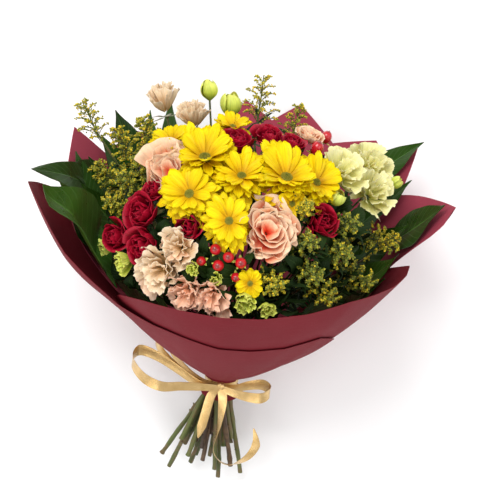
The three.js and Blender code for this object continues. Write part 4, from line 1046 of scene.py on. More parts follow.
# Each round of petals: slope, curl, reach, count, height on the disc, and how far it may pass its room
DAISY_ROUNDS = [
    (-0.24, 0.3, 1.16, 16, 0.1, 9.0),
    (0.04, 0.2, 1.1, 17, 0.42, 5.0),
    (0.22, 0.22, 1.04, 16, 0.6, 4.0),
    (0.42, 0.28, 0.92, 13, 0.8, 4.0),
]
SMALL_DAISY_ROUNDS = [(0.06, 0.2, 1.08, 11, 0.42, 3.0), (0.3, 0.25, 1.0, 9, 0.65, 3.0)]
SMALL_DAISY = 22
# Painted shade: the paint along the petals of the round that points down behind the disc is cut to this
# share, so they keep the darker colour near their roots.
BACK_PETAL_SHADE = 0.42
FLORET_TURN = 2.39996
DISC_PROFILE = [(0.0, 0.3), (0.9, 0.3), (1.0, 1.2), (0.86, 2.2), (0.5, 2.8), (0.0, 3.0)]


def daisy(h):
    """A chrysanthemum: rounds of strap petals about a domed disc of florets."""
    r, rng = h.radius, h.rng
    disc = r * 0.25
    start = h.draw() * 6
    petals = Pile()
    small = r < SMALL_DAISY
    cupping = math.radians(CUPPING) * max(0.0, h.turn)
    rounds = SMALL_DAISY_ROUNDS if small else DAISY_ROUNDS
    for k, (slope, curl, reach, count, height, slack) in enumerate(rounds):
        for i in range(count):
            angle = start + TURN * (i + 0.5 * k + rng.uniform(-0.28, 0.28)) / count
            length = (r * reach - disc * 0.6) * rng.uniform(0.86, 1.06)
            half = r * 0.76 * math.pi / count * rng.uniform(0.8, 1.15)
            lean = slope + cupping + rng.normal(0, 0.13)
            seed = int(rng.integers(1 << 30))

            def make(scale):
                own = np.random.default_rng(seed)
                size = length * scale, half * (0.5 + 0.5 * scale)
                petal = strap_petal(*DAISY_GRID, disc * 0.55, *size, angle, lean, curl, own)
                return petal + UP * disc * height

            # Painted shade on the back round of petals, which lies under the head.
            deep = BACK_PETAL_SHADE if slope < 0 else 1.0
            paint = grid_paint(*DAISY_GRID, rng.uniform(0.0, 1.0)) * (deep, 1, 1)
            add_sheet(petals, h.world(fitted(h, make, slack)), 0.4, edge=0.6, paint=paint)
    piece(petals, f"{h.name}_petals", YELLOW, "chrysanthemum", h.name)
    centre = Pile()
    add_lathe(centre, np.array(DISC_PROFILE) * (disc, disc * 0.33), 20, 0.2)
    count = 46 if small else 110
    k = np.arange(count) + 0.5
    out = np.sqrt(k / count) * 0.96
    a = k * FLORET_TURN
    up = (2.9 - 1.5 * out**2.5) * disc * 0.33
    spots = np.stack([out * disc * np.cos(a), out * disc * np.sin(a), up], 1)
    axes = np.stack([out * np.cos(a) * 0.8, out * np.sin(a) * 0.8, np.ones(count)], 1)
    size = disc * (0.12 if small else 0.085)
    chances = np.clip(out * 0.8 + rng.normal(0, 0.12, count), 0, 1)
    add_beads(centre, spots, axes, size, size * 1.9, chances, 5, 3)
    centre.points = [h.world(p) for p in centre.points]
    piece(centre, f"{h.name}_disc", DISC, "chrysanthemum")


def add_lathe(pile, profile, sides, chance):
    """A turned closed form about +Z, from profile points of (out, up)."""
    rings = profile[1:-1]
    points, quads, tris = turned_form(rings[:, 0], rings[:, 1], profile[0, 1], profile[-1, 1], sides)
    v = np.r_[np.repeat(np.linspace(0, 1, len(rings)), sides), 0, 1]
    u = np.r_[np.tile(np.linspace(0, 1, sides), len(rings)), 0.5, 0.5]
    pile.add(points, np.stack([v, u, np.full(len(points), chance)], 1), quads, tris)


def cup_petal(
    profile, angle, half, rng, r, rows=12, columns=13, rounding=0.2, power=2.6, twist=0.1, ruffle=0.0,
    waves=2.0, jag=0.0, curl=0.0, crease=0.04, point=0.0, tilt=0.0, fold=0.0,
):
    """A petal on a cup. The profile runs from its root to its brim as (out, up)."""
    v = np.linspace(0, 1, rows)[:, None]
    u = np.linspace(-1, 1, columns)[None, :]
    teeth = rng.uniform(0, 1, columns)[None, :] * jag
    s = v * (1 - rounding * np.abs(u) ** power - teeth * v**4 + point * (1 - np.abs(u)) ** 2 * v**3)
    place = along_curve(profile, s)
    out, up = place[..., 0], place[..., 1]
    turn = angle + u * half * (0.5 + 0.5 * np.sin(np.clip(v / 0.6, 0, 1) * math.pi / 2))
    lean = rng.normal(0, 1, 2)
    out = out * (1 + twist * u + 0.04 * lean[0] * v) + curl * r * np.abs(u) ** 4 * s
    up = up + tilt * r * lean[1] * u * v
    grid = np.stack([out * np.cos(turn), out * np.sin(turn), up], -1)
    swell = crease * crumple(u, v, rng) * v + fold * v * (np.abs(u - rng.uniform(-0.4, 0.4)) - 0.5)
    if ruffle:
        phase = rng.uniform(0, TURN)
        wave = np.sin(waves * math.pi * u + phase) + 0.6 * np.sin(waves * 2.3 * math.pi * u + phase * 2)
        swell = swell + ruffle * v**2.2 * wave
    return grid + normals_of(grid) * (r * swell)[..., None]


def crumple(u, v, rng):
    """An uneven swell over a petal, from -1 to 1 or so."""
    swell = 0
    for across, along in ((0.9, 0.8), (1.7, 1.5), (2.9, 2.3)):
        first, second = rng.uniform(0, TURN, 2)
        wave = np.sin(across * math.pi * u + first) * np.sin(along * math.pi * v + second)
        swell = swell + wave / across**0.5
    return swell / 1.6


def add_whorl(pile, h, count, stages, widths, slack=4.0, chance=(0.0, 1.0), **shape):
    """Petals from the heart outwards, each a golden angle on from the last and a stage more open."""
    r, rng = h.radius, h.rng
    stages = np.array(stages, float) * r
    start = h.draw() * 6
    for k in range(count):
        t = k / (count - 1) * (len(stages) - 1)
        i = min(int(t), len(stages) - 2)
        profile = lerp(stages[i], stages[i + 1], t - i)
        half = np.interp(t, range(len(widths)), widths) * rng.uniform(0.88, 1.12)
        angle = start + k * GOLDEN + rng.normal(0, 0.12)
        height = rng.uniform(0.92, 1.08)
        seed = int(rng.integers(1 << 30))

        def make(scale):
            grown = profile[0] + (profile - profile[0]) * (scale, scale * height)
            return cup_petal(grown, angle, half, np.random.default_rng(seed), r, **shape)

        grid = fitted(h, make, slack)
        add_sheet(pile, h.world(grid), 0.35, rng.uniform(*chance), edge=0.6)


# Profiles of petals as (out, up) in radii of the head, from the heart's to the outermost
ROSE_STAGES = [
    [(0.04, 0.3), (0.1, 0.55), (0.13, 0.8), (0.12, 1.0), (0.06, 1.12)],
    [(0.08, 0.2), (0.3, 0.42), (0.37, 0.7), (0.36, 0.95), (0.3, 1.12)],
    [(0.1, 0.15), (0.5, 0.36), (0.6, 0.64), (0.62, 0.92), (0.68, 1.05)],
    [(0.12, 0.12), (0.62, 0.3), (0.84, 0.56), (0.98, 0.82), (1.12, 0.84)],
]


def rose(h):
    """A spray rose: petals wound tight at the heart, the outer ones curled back to a point."""
    pile = Pile()
    shape = dict(power=2.0, curl=0.1, crease=0.1, point=0.12, tilt=0.1, twist=0.14, fold=0.15)
    add_whorl(pile, h, 18, ROSE_STAGES, (1.5, 1.2, 0.95, 0.8), **shape)
    piece(pile, f"{h.name}_petals", RED, "rose", h.name)


GARDEN_SHAPE = dict(
    rounding=0.16, power=2.8, ruffle=0.045, waves=1.8, crease=0.12, tilt=0.09, fold=0.2, columns=17, rows=13
)
GARDEN_STAGES = [
    [(0.06, 0.28), (0.26, 0.36), (0.4, 0.54), (0.48, 0.74), (0.5, 0.88)],
    [(0.08, 0.22), (0.4, 0.28), (0.64, 0.46), (0.78, 0.68), (0.86, 0.82)],
    [(0.1, 0.16), (0.5, 0.2), (0.84, 0.36), (1.04, 0.54), (1.16, 0.6)],
]


def tipped(h, more):
    """The head turned further towards the eye about its middle."""
    other = copy.copy(h)
    other.facing = unit(h.facing + UP * more)
    other.turned = rotation_to(other.facing)
    other.seat = h.middle - other.facing * h.radius * DEPTH[h.kind] / 2
    return other


def garden_rose(h):
    """A full rose: large wavy petals outside, and a heart of folded ones in three bunches."""
    h = tipped(h, 0.5 if h.name == "garden_rose_2" else 0)
    r = h.radius
    pile = Pile()
    add_whorl(pile, h, 14, GARDEN_STAGES, (1.0, 0.86, 0.7), 7.0, chance=(0.4, 1.0), **GARDEN_SHAPE)
    for k in range(3):
        angle = TURN * k / 3 + h.draw()
        hub = level(angle) * r * 0.28
        for fold in range(4):
            grid = folded_petal(r, angle + (fold - 1.5) * 0.62, 0.38 + 0.09 * fold, h.rng)
            add_sheet(pile, h.world(grid + hub * (0.4 + 0.3 * fold)), 0.35, h.rng.uniform(0, 0.5), edge=0.6)
    piece(pile, f"{h.name}_petals", PEACH, "garden_rose", h.name)


def folded_petal(r, angle, reach, rng):
    """A petal of a full rose's heart, folded along its middle, standing up and leaning out."""
    v = np.linspace(0, 1, 12)[:, None]
    u = np.linspace(-1, 1, 15)[None, :]
    wide = r * reach * (0.45 + 0.65 * np.sin(v * math.pi * 0.62))
    side = wide * u * (0.8 + 0.2 * np.cos(u * 2))
    fold = wide * 0.75 * np.abs(u) ** 1.3
    wave = r * 0.03 * np.sin(4 * u + rng.uniform(0, TURN)) * v
    up = r * (0.32 + 0.56 * v * (1 - 0.16 * np.abs(u) ** 2.5)) + wave
    out = r * reach * 0.55 * v**1.4 - fold * 0.6 + r * 0.05 * crumple(u, v, rng) * v
    return out[..., None] * level(angle) + side[..., None] * level(angle + TURN / 4) + up[..., None] * UP


LISIANTHUS_STAGES = [
    [(0.04, 0.4), (0.08, 0.55), (0.13, 0.7), (0.18, 0.86), (0.22, 0.98)],
    [(0.08, 0.3), (0.24, 0.46), (0.38, 0.66), (0.5, 0.86), (0.6, 1.02)],
    [(0.12, 0.2), (0.4, 0.36), (0.64, 0.56), (0.84, 0.76), (0.98, 0.92)],
    [(0.14, 0.14), (0.5, 0.26), (0.82, 0.42), (1.06, 0.58), (1.2, 0.68)],
]
CREAM_SHAPE = dict(rounding=0.14, power=2.4, ruffle=0.06, waves=2.2, jag=0.1, fold=0.2, columns=17)
BEIGE_SHAPE = dict(rounding=0.1, power=3.0, ruffle=0.065, waves=2.3, jag=0.14, fold=0.14, columns=19)
NARROW_CUP = (0.68, 1.6)


def lisianthus(h):
    """A ruffled bloom: the cream ones wide, the beige ones with more teeth, and two of them narrow cups."""
    pile = Pile()
    if h.name in CREAM:
        look, slot, stages, widths = CREAMY, "lisianthus_cream", LISIANTHUS_STAGES, (0.85, 0.72, 0.62, 0.5)
        shape = dict(crease=0.1, **CREAM_SHAPE)
    else:
        look, slot, widths = BEIGE, "lisianthus", (0.95, 0.85, 0.75, 0.66)
        stages = np.array(LISIANTHUS_STAGES) * (NARROW_CUP if h.name in UPRIGHT else (1, 1))
        shape = dict(crease=0.12, chance=(0.5, 1.0) if h.name in PINKER else (0.0, 0.52), **BEIGE_SHAPE)
    add_whorl(pile, h, 14, stages, widths, 6.0, tilt=0.16, **shape)
    piece(pile, f"{h.name}_petals", look, slot, h.name)


MAKERS = {"daisy": daisy, "rose": rose, "garden": garden_rose, "lisianthus": lisianthus}
for h in heads:
    if h.kind in MAKERS:
        MAKERS[h.kind](h)


# Leaves, buds, berries and plumes

def blade(foot, forward, normal, length, width, droop, fold, rng, rows=11, columns=7):
    """A pointed leaf from its foot: creased along the midrib, bent down towards its tip."""
    forward = unit(forward)
    normal = unit(normal - forward * (normal @ forward))
    across = np.cross(forward, normal)
    v = np.linspace(0, 1, rows)
    u = np.linspace(-1, 1, columns)
    wide = width / 2 * np.sin(np.clip(v, 0, 1) ** 0.8 * math.pi) ** 0.8 * (1.06 - 0.3 * v)
    wide = np.maximum(wide, width * 0.015)
    wave = rng.uniform(0, TURN)
    lift = fold * wide[:, None] * np.abs(u) + 0.05 * width * np.sin(v * 9 + wave)[:, None] * u**2
    bend = -droop * length * v**2
    rib = foot + forward * (length * v)[:, None]
    return spread(rib, across, wide[:, None] * u, normal, lift + bend[:, None])


def add_twig_leaves(pile, path, shares, length, width, rng):
    """Slender leaves along a stem, each turned out from the bouquet's middle."""
    points = np.array(path.points)
    for share in shares:
        foot = along_curve(points, share)
        onwards = unit(along_curve(points, min(1, share + 0.02)) - along_curve(points, share - 0.02))
        _, out = from_axis(foot)
        out = out / max(np.linalg.norm(out), 1e-6)
        side = unit(np.cross(onwards, out) * rng.uniform(-1, 1) + out * 0.35 + rng.normal(0, 0.2, 3))
        forward = unit(onwards * rng.uniform(0.35, 0.9) + side)
        size = rng.uniform(0.75, 1.2)
        droop = rng.uniform(0.05, 0.3)
        grid = blade(foot, forward, onwards, length * size, width * size, droop, 0.3, rng, 8, 5)
        add_sheet(pile, held_inside(under_dome(grid, 0.97)), 0.4, rng.random())


def under_dome(grid, share):
    """Leaves that would stand above the blooms are drawn in under them."""
    along, away = from_axis(grid, DOME_CENTRE)
    size = np.sqrt((np.linalg.norm(away, axis=-1) / DOME_RADIUS) ** 2 + (along / DOME_HEIGHT) ** 2)
    return DOME_CENTRE + (grid - DOME_CENTRE) * np.minimum(1, share / size)[..., None]


def cover_of(radius):
    """How far a bloom covers what lies under it, in its radii."""
    return 0.86 if radius > 40 else 0.66 if radius > 16 else 1.7


GAP_SEED = 11
GAP_STEP = 13.0
GAP_REACH = (18, 52)
GAP_LEAF_OUTLINE = ([0, 0.16, 0.34, 0.6, 0.85, 1], [0.08, 0.2, 0.8, 1, 0.5, 0.04])
LARGE_LEAF_OUTLINE = ([0, 0.1, 0.22, 0.42, 0.66, 0.86, 1], [0.12, 0.5, 0.82, 1, 0.68, 0.26, 0.0])
LEAFLET_OUTLINE = ([0, 0.12, 0.35, 0.75, 0.95, 1.05], [0.1, 0.55, 1, 0.7, 0.3, 0.03])


def gap_leaves():
    """Leaves to fill the gaps between the blooms: each its branch, foot, place, outward direction, and
    whether it is slender, as those beside a plume are."""
    rng = np.random.default_rng(GAP_SEED)
    branches = [path for s in sprays for path in s.branches if path.head is not None]
    shares = np.linspace(0.25, 0.92, 12)
    feet = np.concatenate([along_curve(path.points, shares) for path in branches])
    owners = np.repeat(np.arange(len(branches)), len(shares))
    found = []
    for x in np.arange(-178, 185, GAP_STEP):
        for y in np.arange(-100, 172, GAP_STEP):
            spot = np.array([x, y]) + rng.uniform(-6, 6, 2)
            point, normal = on_dome(*spot)
            sight = unit(vec(*spot, SIGHT_HEIGHT) - EYE)
            near = [(math.hypot(h.x - spot[0], h.y - spot[1]) / h.radius, h.kind, h.radius) for h in heads]
            covered = any(far < cover_of(radius) for far, kind, radius in near if kind in BLOOMS)
            if normal @ sight > -0.3 or covered:
                continue
            slender = min(near)[1] == "plume"
            place = point - normal * rng.uniform(8, 20)
            along, away = from_axis(place)
            if np.linalg.norm(away) > bowl_radius(along) - LEAF_LAYER - 3:
                continue
            far = np.linalg.norm(feet - place, axis=1)
            fit = (far > GAP_REACH[0]) & (far < GAP_REACH[1]) & ((place - feet) @ AXIS > 3)
            if not fit.any():
                continue
            miss = np.where(fit, np.abs(far - 30) + rng.uniform(0, 14, len(far)), 1e9)
            k = int(np.argmin(miss))
            found.append((branches[owners[k]], feet[k], place, normal, slender))
    return found


def add_gap_leaf(pile, foot, place, normal, slender, rng):
    """A leaf that rises from its foot on a branch to its place and lies over there."""
    reach = place - foot
    ahead = unit(reach - normal * (reach @ normal) + rng.normal(0, 4, 3))
    length = np.linalg.norm(reach)
    tip = place + ahead * rng.uniform(9, 17)
    rise = lerp(foot, place, 0.5) - normal * 3 + rng.normal(0, 2, 3)
    v = np.linspace(0, 1, 12)
    u = np.linspace(-1, 1, 5)
    rib = along_curve([foot, rise, place, tip], v)
    onwards = unit(np.gradient(rib, axis=0))
    across = unit(np.cross(onwards, normal + rng.normal(0, 0.25, 3)))
    upward = np.cross(across, onwards)
    wide = rng.uniform(4, 6.5) if slender else min(20, 0.44 * length) * rng.uniform(0.8, 1.15)
    half = softened(wide / 2 * np.interp(v, *GAP_LEAF_OUTLINE))
    lift = half[:, None] * (0.25 * np.abs(u) + 0.12 * np.sin(v * 14 + rng.uniform(0, TURN))[:, None] * u**2)
    grid = spread(rib, across, half[:, None] * u, upward, lift)
    add_sheet(pile, held_inside(under_dome(grid, 0.96)), 0.4, rng.random())


def held_inside(grid, flare=0):
    """Leaves bend along the paper where they meet it, and over its rim by the flare."""
    along, away = from_axis(grid)
    reach = np.linalg.norm(away, axis=-1)
    room = bowl_radius(along) - LEAF_LAYER + 2 + flare * smoothstep(along, *RIM_SPAN)
    short = np.minimum(1, room / np.maximum(reach, 1e-6))
    out = TIE + along[..., None] * AXIS + away * short[..., None]
    out[..., 2] = np.maximum(out[..., 2], LEAF_LAYER)
    return out


def add_large_leaf(pile, leaf, rng, inset=LEAF_LAYER, turned=0.55, flare=None):
    """A large leaf along the paper, turned somewhat from it towards the eye."""
    v = np.linspace(0, 1, 22)
    u = np.linspace(-1, 1, 9)
    if flare is not None:
        inset = inset - flare * smoothstep(lerp(leaf[1][1], leaf[2][1], v), *RIM_SPAN)
    spot = leaf_spot(leaf, v, inset)
    ahead = unit(leaf_spot(leaf, v + 0.04) - leaf_spot(leaf, v - 0.04))
    _, foot, tip, width = leaf
    inward = bowl_inward(lerp(foot[0], tip[0], v), lerp(foot[1], tip[1], v))
    sideways = UP - ahead * (ahead @ UP)[:, None]
    swing = np.sin(v * math.pi) if flare is None else smoothstep(v, 0, 0.3)
    inward = unit(inward + sideways * (turned * swing)[:, None])
    across = unit(np.cross(ahead, inward))
    half = softened(1.15 * width / 2 * np.interp(v, *LARGE_LEAF_OUTLINE))
    wave = rng.uniform(0, TURN)
    lift = half[:, None] * (0.16 * np.abs(u)) + 1.1 * np.sin(v * 11 + wave)[:, None] * np.abs(u) ** 3
    grid = spread(spot, across, half[:, None] * u, inward, lift)
    add_sheet(pile, grid if flare is None else held_inside(grid, 1.6 * flare), 0.8, rng.random())


def add_leaflet(pile, h):
    """A small broad leaf that leans over between the blooms."""
    long = h.radius * DEPTH["leaflet"]
    turn = h.draw() * TURN
    v = np.linspace(0, 1.05, 14)
    u = np.linspace(-1, 1, 9)
    half = 0.3 * np.interp(v, *LEAFLET_OUTLINE)

    def make(scale):
        side = half[:, None] * u
        up = (0.6 * v - 0.25 * v**2)[:, None] + np.abs(side) * 0.2
        rib = level(turn) * (long * scale * (0.8 * v - 0.1))[:, None]
        return spread(rib, level(turn + TURN / 4), side * long * scale, UP, long * scale * up - 1)

    add_sheet(pile, h.world(fitted(h, make)), 0.6, h.rng.random())


# The buds that are just opening
RUFFLED = ("bud_3", "bud_4", "bud_5", "bud_6", "bud_7", "bud_8")
RUFFLED_STAGES = [
    [(0.05, 0.2), (0.2, 0.6), (0.3, 1.0), (0.32, 1.4), (0.25, 1.65)],
    [(0.1, 0.05), (0.55, 0.45), (0.85, 0.9), (1.0, 1.3), (1.1, 1.55)],
]
CLOSED_STAGES = [
    [(0.1, 0.0), (0.5, 0.5), (0.62, 1.0), (0.45, 1.5), (0.1, 1.9)],
    [(0.15, -0.1), (0.7, 0.45), (0.9, 1.0), (0.8, 1.5), (0.5, 1.85)],
]


def add_bud(pile, h):
    """A bud of a few petals, still closed or just opening in ruffles, on five sepals."""
    r = h.radius
    if h.name in RUFFLED:
        shape = dict(rounding=0.12, ruffle=0.1, waves=2.4, jag=0.12, crease=0.12, tilt=0.15)
        add_whorl(pile, h, 10, RUFFLED_STAGES, (1.0, 0.7), **shape)
    else:
        add_whorl(pile, h, 7, CLOSED_STAGES, (1.3, 0.8), rounding=0.22, power=2.0, crease=0.06, twist=0.16)
    for k in range(5):
        out = level(TURN * k / 5 + h.rng.uniform(0, 0.5))
        grid = blade(out * r * 0.2, out * 0.6 + UP, -out, r * 1.1, r * 0.4, -0.1, 0.2, h.rng, 8, 5)
        add_sheet(pile, h.world(grid), 0.4, paint=grid_paint(8, 5, 0.2) * (0.2, 1, 1))


def add_berry(pile, caps, h):
    """A berry with its dry tip, on a cap of five small leaves."""
    r = h.radius
    middle = h.middle - h.facing * 1.5
    add_beads(pile, [middle], [h.facing], r, r * 1.3, [0.5], 20, 14)
    add_beads(pile, [middle + h.facing * r * 1.27], [h.facing], 0.5, 1.3, [0.5], 6, 4)
    for k in range(5):
        out = h.turned @ level(TURN * k / 5 + 0.4)
        foot = middle - h.facing * r * 1.15 + out * r * 0.25
        forward, normal = out + h.facing * 0.3, h.facing - out * 0.5
        grid = blade(foot, forward, normal, r * 1.15, r * 0.75, 0.1, 0.15, h.rng, 8, 5)
        add_sheet(caps, grid, 0.4, 0.8)


# The plumes further up than this are looser
LOOSE_FROM = 135


def add_plume(twigs, florets, h):
    """A plume of goldenrod: arching sprigs wound up a twig, each packed with small round florets."""
    r, rng = h.radius, h.rng
    length = r * DEPTH["plume"]
    start = h.draw() * 6
    top = h.world(vec(0, 0, length * 1.05))
    stem = along_curve([h.seat, h.world(vec(0.6, 0.4, length * 0.5)), top], np.linspace(0, 1, 10))
    add_tube(twigs, stem, np.linspace(1.2, 0.4, 10), 6, 0.3)
    loose = h.y > LOOSE_FROM
    count, number = (22, 24) if loose else (28, 34)
    centres, axes, chances = [], [], []
    tone = rng.uniform(0.2, 0.55) + (0.15 if loose else 0)
    for k in range(count):
        share = k / (count - 1)
        turn = start + k * GOLDEN
        foot = vec(0, 0, lerp(-0.4, 0.92, share) * length)
        reach = r * lerp(1.05, 0.34, share) * rng.uniform(0.8, 1.1)
        out = level(turn)

        def make(scale):
            bend = np.array([0.0, 0.35, 0.7, 1.0])[:, None] * reach * scale
            rise = np.array([0.0, 0.34, 0.52, 0.5])[:, None] * reach * scale
            return foot + out * bend + UP * rise

        sprig = h.world(fitted(h, make, 3.0, (1.15, 1, 0.85, 0.7, 0.55, 0.4)))
        add_tube(twigs, along_curve(sprig, np.linspace(0, 1, 7)), np.linspace(0.5, 0.3, 7), 4, 0.3)
        t = np.linspace(0.18, 1.0, number)
        around = unit(rng.normal(0, 1, (number, 3)) + h.facing * 0.7)
        stand = (rng.uniform(0.6, 3.0, number) * (1.15 - 0.4 * t))[:, None]
        centres.append(along_curve(sprig, t) + around * stand)
        axes.append(around)
        chances.append(np.clip(tone + rng.normal(0, 0.3, number) + 0.25 * (t - 0.5), 0, 1))
    centres, axes, chances = np.concatenate(centres), np.concatenate(axes), np.concatenate(chances)
    size = rng.uniform(0.85, 1.5, len(centres)) * (0.88 if loose else 1)
    add_beads(florets, centres, axes, size * 0.95, size * 1.2, chances, 5, 2)


# Stems with what grows on them

def calyx_radius(h):
    """The radius of the green cup under a bloom."""
    return h.radius * (0.2 if h.kind == "daisy" else 0.28)


def add_sepals(pile, h):
    """The pointed sepals under a bloom."""
    reach = calyx_radius(h)
    count = 9 if h.kind == "daisy" else 5
    long = h.radius * (0.4 if h.kind == "daisy" else 0.85)
    for k in range(count):
        out = level(TURN * k / count + 0.3)
        foot = out * reach * 0.7 - UP * 1.2
        forward = out + UP * h.rng.uniform(-0.1, 0.5)
        droop = h.rng.uniform(-0.05, 0.25)
        grid = blade(foot, forward, UP - out * 0.3, long, long * 0.3, droop, 0.15, h.rng, 7, 5)
        add_sheet(pile, h.world(grid), 0.4, h.rng.uniform(0.2, 0.5))


def smooth_path(points, per_millimetre=0.14):
    points = np.array(points)
    length = np.sum(np.linalg.norm(np.diff(points, axis=0), axis=1))
    return along_curve(points, np.linspace(0, 1, max(6, int(length * per_millimetre))))


# Narrower leaves low on the leafy stems, as in LEAVES
SIDE_LEAVES = [
    ("F1", (258, 50), (259, 158), 30), ("F1", (270, 50), (273, 176), 30), ("F1", (286, 50), (300, 150), 32),
    ("F1", (250, 60), (246, 172), 26), ("F1", (236, 60), (240, 160), 24), ("F2", (86, 60), (78, 168), 30),
    ("F2", (70, 60), (60, 150), 28), ("F2", (110, 60), (100, 190), 28), ("F2", (96, 60), (92, 180), 26),
    ("F2", (124, 60), (130, 190), 26), ("F2", (48, 60), (42, 150), 26), ("F1", (310, 50), (322, 140), 26),
]
# Leaves that face the eye more: the same, then how far inside the paper they lie, how far they turn, and how
# far they lean out over its rim
FACING_LEAVES = [
    ("F1", (287, 140), (299, 270), 86, 13, 0.9, 22), ("F1", (276, 196), (297, 128), 44, 13, 1.2, 0),
    ("F1", (252, 186), (282, 252), 32, 14, 0.5, 30), ("F1", (252, 120), (268, 214), 34, 26, 1.2, 0),
    ("F1", (238, 130), (252, 222), 36, 20, 1.2, 0), ("F1", (262, 150), (256, 232), 34, 15, 1.0, 0),
    ("F1", (230, 140), (240, 232), 34, 16, 0.8, 0), ("F1", (226, 130), (222, 210), 28, 24, 1.0, 0),
    ("F1", (222, 150), (218, 244), 26, 20, 0.6, 0), ("F1", (214, 156), (210, 254), 26, 20, 0.6, 0),
    ("F1", (203, 150), (201, 224), 24, 22, 0.5, 0), ("F2", (112, 120), (94, 214), 36, 26, 1.0, 0),
    ("F2", (92, 110), (76, 200), 34, 26, 1.0, 0), ("F2", (76, 96), (60, 180), 30, 24, 1.0, 0),
    ("F2", (128, 130), (116, 212), 28, 24, 0.8, 0),
]
fillers = gap_leaves()
# How much stouter a stem is at its cut end than at the tie
STEM_GROWTH = 0.9
# The slot of some stems, and the look and name of what grows on them
GROWTH = {
    "goldenrod": ("goldenrod", FLORET, "florets"),
    "leafy": ("leaf", LEAF, "large_leaves"),
    "berry": ("berry", BERRY, "berries"),
}


def add_trunk(pile, s, tone, rng):
    """The stem from its cut end to the fork: knotty below the tie, with the stubs of three side shoots."""
    trunk = smooth_path(s.trunk.points, 0.3)
    below = -(trunk - TIE) @ SHEAF_LEAN
    stout = STEM_RADIUS + STEM_GROWTH * smoothstep(below, 8, 55)
    waves = 0.12 * np.sin(below * 0.21 + s.slot) * np.sin(below * 0.073 + 2 * s.slot)
    nodes = 0.3 * np.maximum(0, np.sin(below * 0.19 + 1.7 * s.slot)) ** 24
    knots = waves * smoothstep(below, 5, 40) + nodes * smoothstep(below, 5, 30)
    trunk[:, 2] = np.maximum(trunk[:, 2], stout * 1.1)
    add_tube(pile, trunk, stout * (1 + knots), 12, tone, wobble=0.08)
    for _ in range(3):
        spot = int(np.argmin(np.abs(below - rng.uniform(38, 110))))
        way = unit(unit(rng.normal(0, 1, 3)) + UP * 0.6 - SHEAF_LEAN * 0.5)
        stub = trunk[spot] + np.outer(np.linspace(0.2, 1, 4), way) * stout[spot] * rng.uniform(1.5, 2.6)
        add_tube(pile, stub, np.linspace(1.3, 0.8, 4), 8, min(1, tone + 0.3))


def add_branch(path, tone, rng, stems, leaves, special, caps):
    """A branch with what stands at its end and the small leaves on it."""
    h = path.head
    line = smooth_path(path.points)
    radii = np.full(len(line), TWIG_RADIUS)
    if h is not None and h.kind in BLOOMS:
        radii = lerp(TWIG_RADIUS, calyx_radius(h), smoothstep(np.linspace(0, 1, len(line)), 0.86, 1.0))
        add_sepals(stems, h)
    add_tube(stems, line, radii, 8, tone)
    if h is None:
        add_large_leaf(special, path.leaf, rng)
    elif h.kind == "bud":
        add_bud(special, h)
    elif h.kind == "berry":
        add_berry(special, caps, h)
    elif h.kind == "leaflet":
        add_leaflet(special, h)
    elif h.kind == "plume":
        add_plume(stems, special, h)
        add_twig_leaves(leaves, path, np.linspace(0.4, 0.95, 14), 30, 6.5, rng)
    for owner, *leaf in fillers:
        if owner is path:
            add_gap_leaf(leaves, *leaf, rng)


for s in sprays:
    rng = np.random.default_rng(len(s.name) * 131 + s.slot * 17)
    stems, leaves, special, caps = Pile(), Pile(), Pile(), Pile()
    tone = rng.uniform(0, 1)
    add_trunk(stems, s, tone, rng)
    for path in s.branches:
        add_branch(path, tone, rng, stems, leaves, special, caps)
    for leaf in SIDE_LEAVES:
        if stem_name(leaf[0]) == s.name:
            add_large_leaf(special, leaf, rng, rng.uniform(11, 19), 0.35)
    for *leaf, inset, turned, flare in FACING_LEAVES:
        if stem_name(leaf[0]) == s.name:
            add_large_leaf(special, leaf, rng, inset, turned, flare)
    slot, look, ending = GROWTH.get(s.name.split("_")[0], ("stem", BUD, "buds"))
    piece(stems, f"{s.name}_stems", STEM, slot, s.name)
    if leaves.count:
        piece(leaves, f"{s.name}_leaves", SHADED_FOLIAGE, "leaf")
    if caps.count:
        piece(caps, f"{s.name}_caps", BUD, slot)
    if special.count:
        piece(special, f"{s.name}_{ending}", look, slot)


# The paper: four sheets, each with its layer, the later ones further out, and its rim. The rim is a row of
# corners: the angle round the axis, and the distance along it.

SKIRT_LIFT = 2.4
SKIRT_START = -3
WRAP = [
    ("wrap_back_left", 3, [
        (184, 150), (197, 196), (210, 206), (224, 221), (237, 204), (250, 250), (262, 224), (275, 214),
        (289, 190),
    ]),
    ("wrap_back_right", 2, [
        (62, 112), (84, 126), (96, 142), (98, 270), (108, 238), (119, 208), (123, 258), (131, 226),
        (139, 242), (153, 222), (167, 252), (175, 228), (184, 246), (197, 200),
    ]),
    ("wrap_front_right", 1, [
        (-71, 70), (-60, 120), (-46, 150), (-31, 170), (-17, 177), (-3, 180), (10, 183), (24, 192),
        (37, 205), (50, 198), (62, 190), (74, 186), (82, 184), (91, 165), (99, 148), (101, 110),
    ]),
    ("wrap_front_left", 0, [
        (237, 130), (250, 160), (262, 190), (275, 222), (289, 252), (300, 186), (314, 138), (329, 128),
        (343, 126), (357, 119), (370, 117), (384, 124), (397, 138), (410, 120),
    ]),
]
# The left corner of the outermost sheet bulges out
CORNER_ANGLE = 289
CORNER_FLARE = 20
# The back sheet's right-hand point leans forward
SPIKE_SPAN = (96, 119)
SPIKE_LEAN = 20


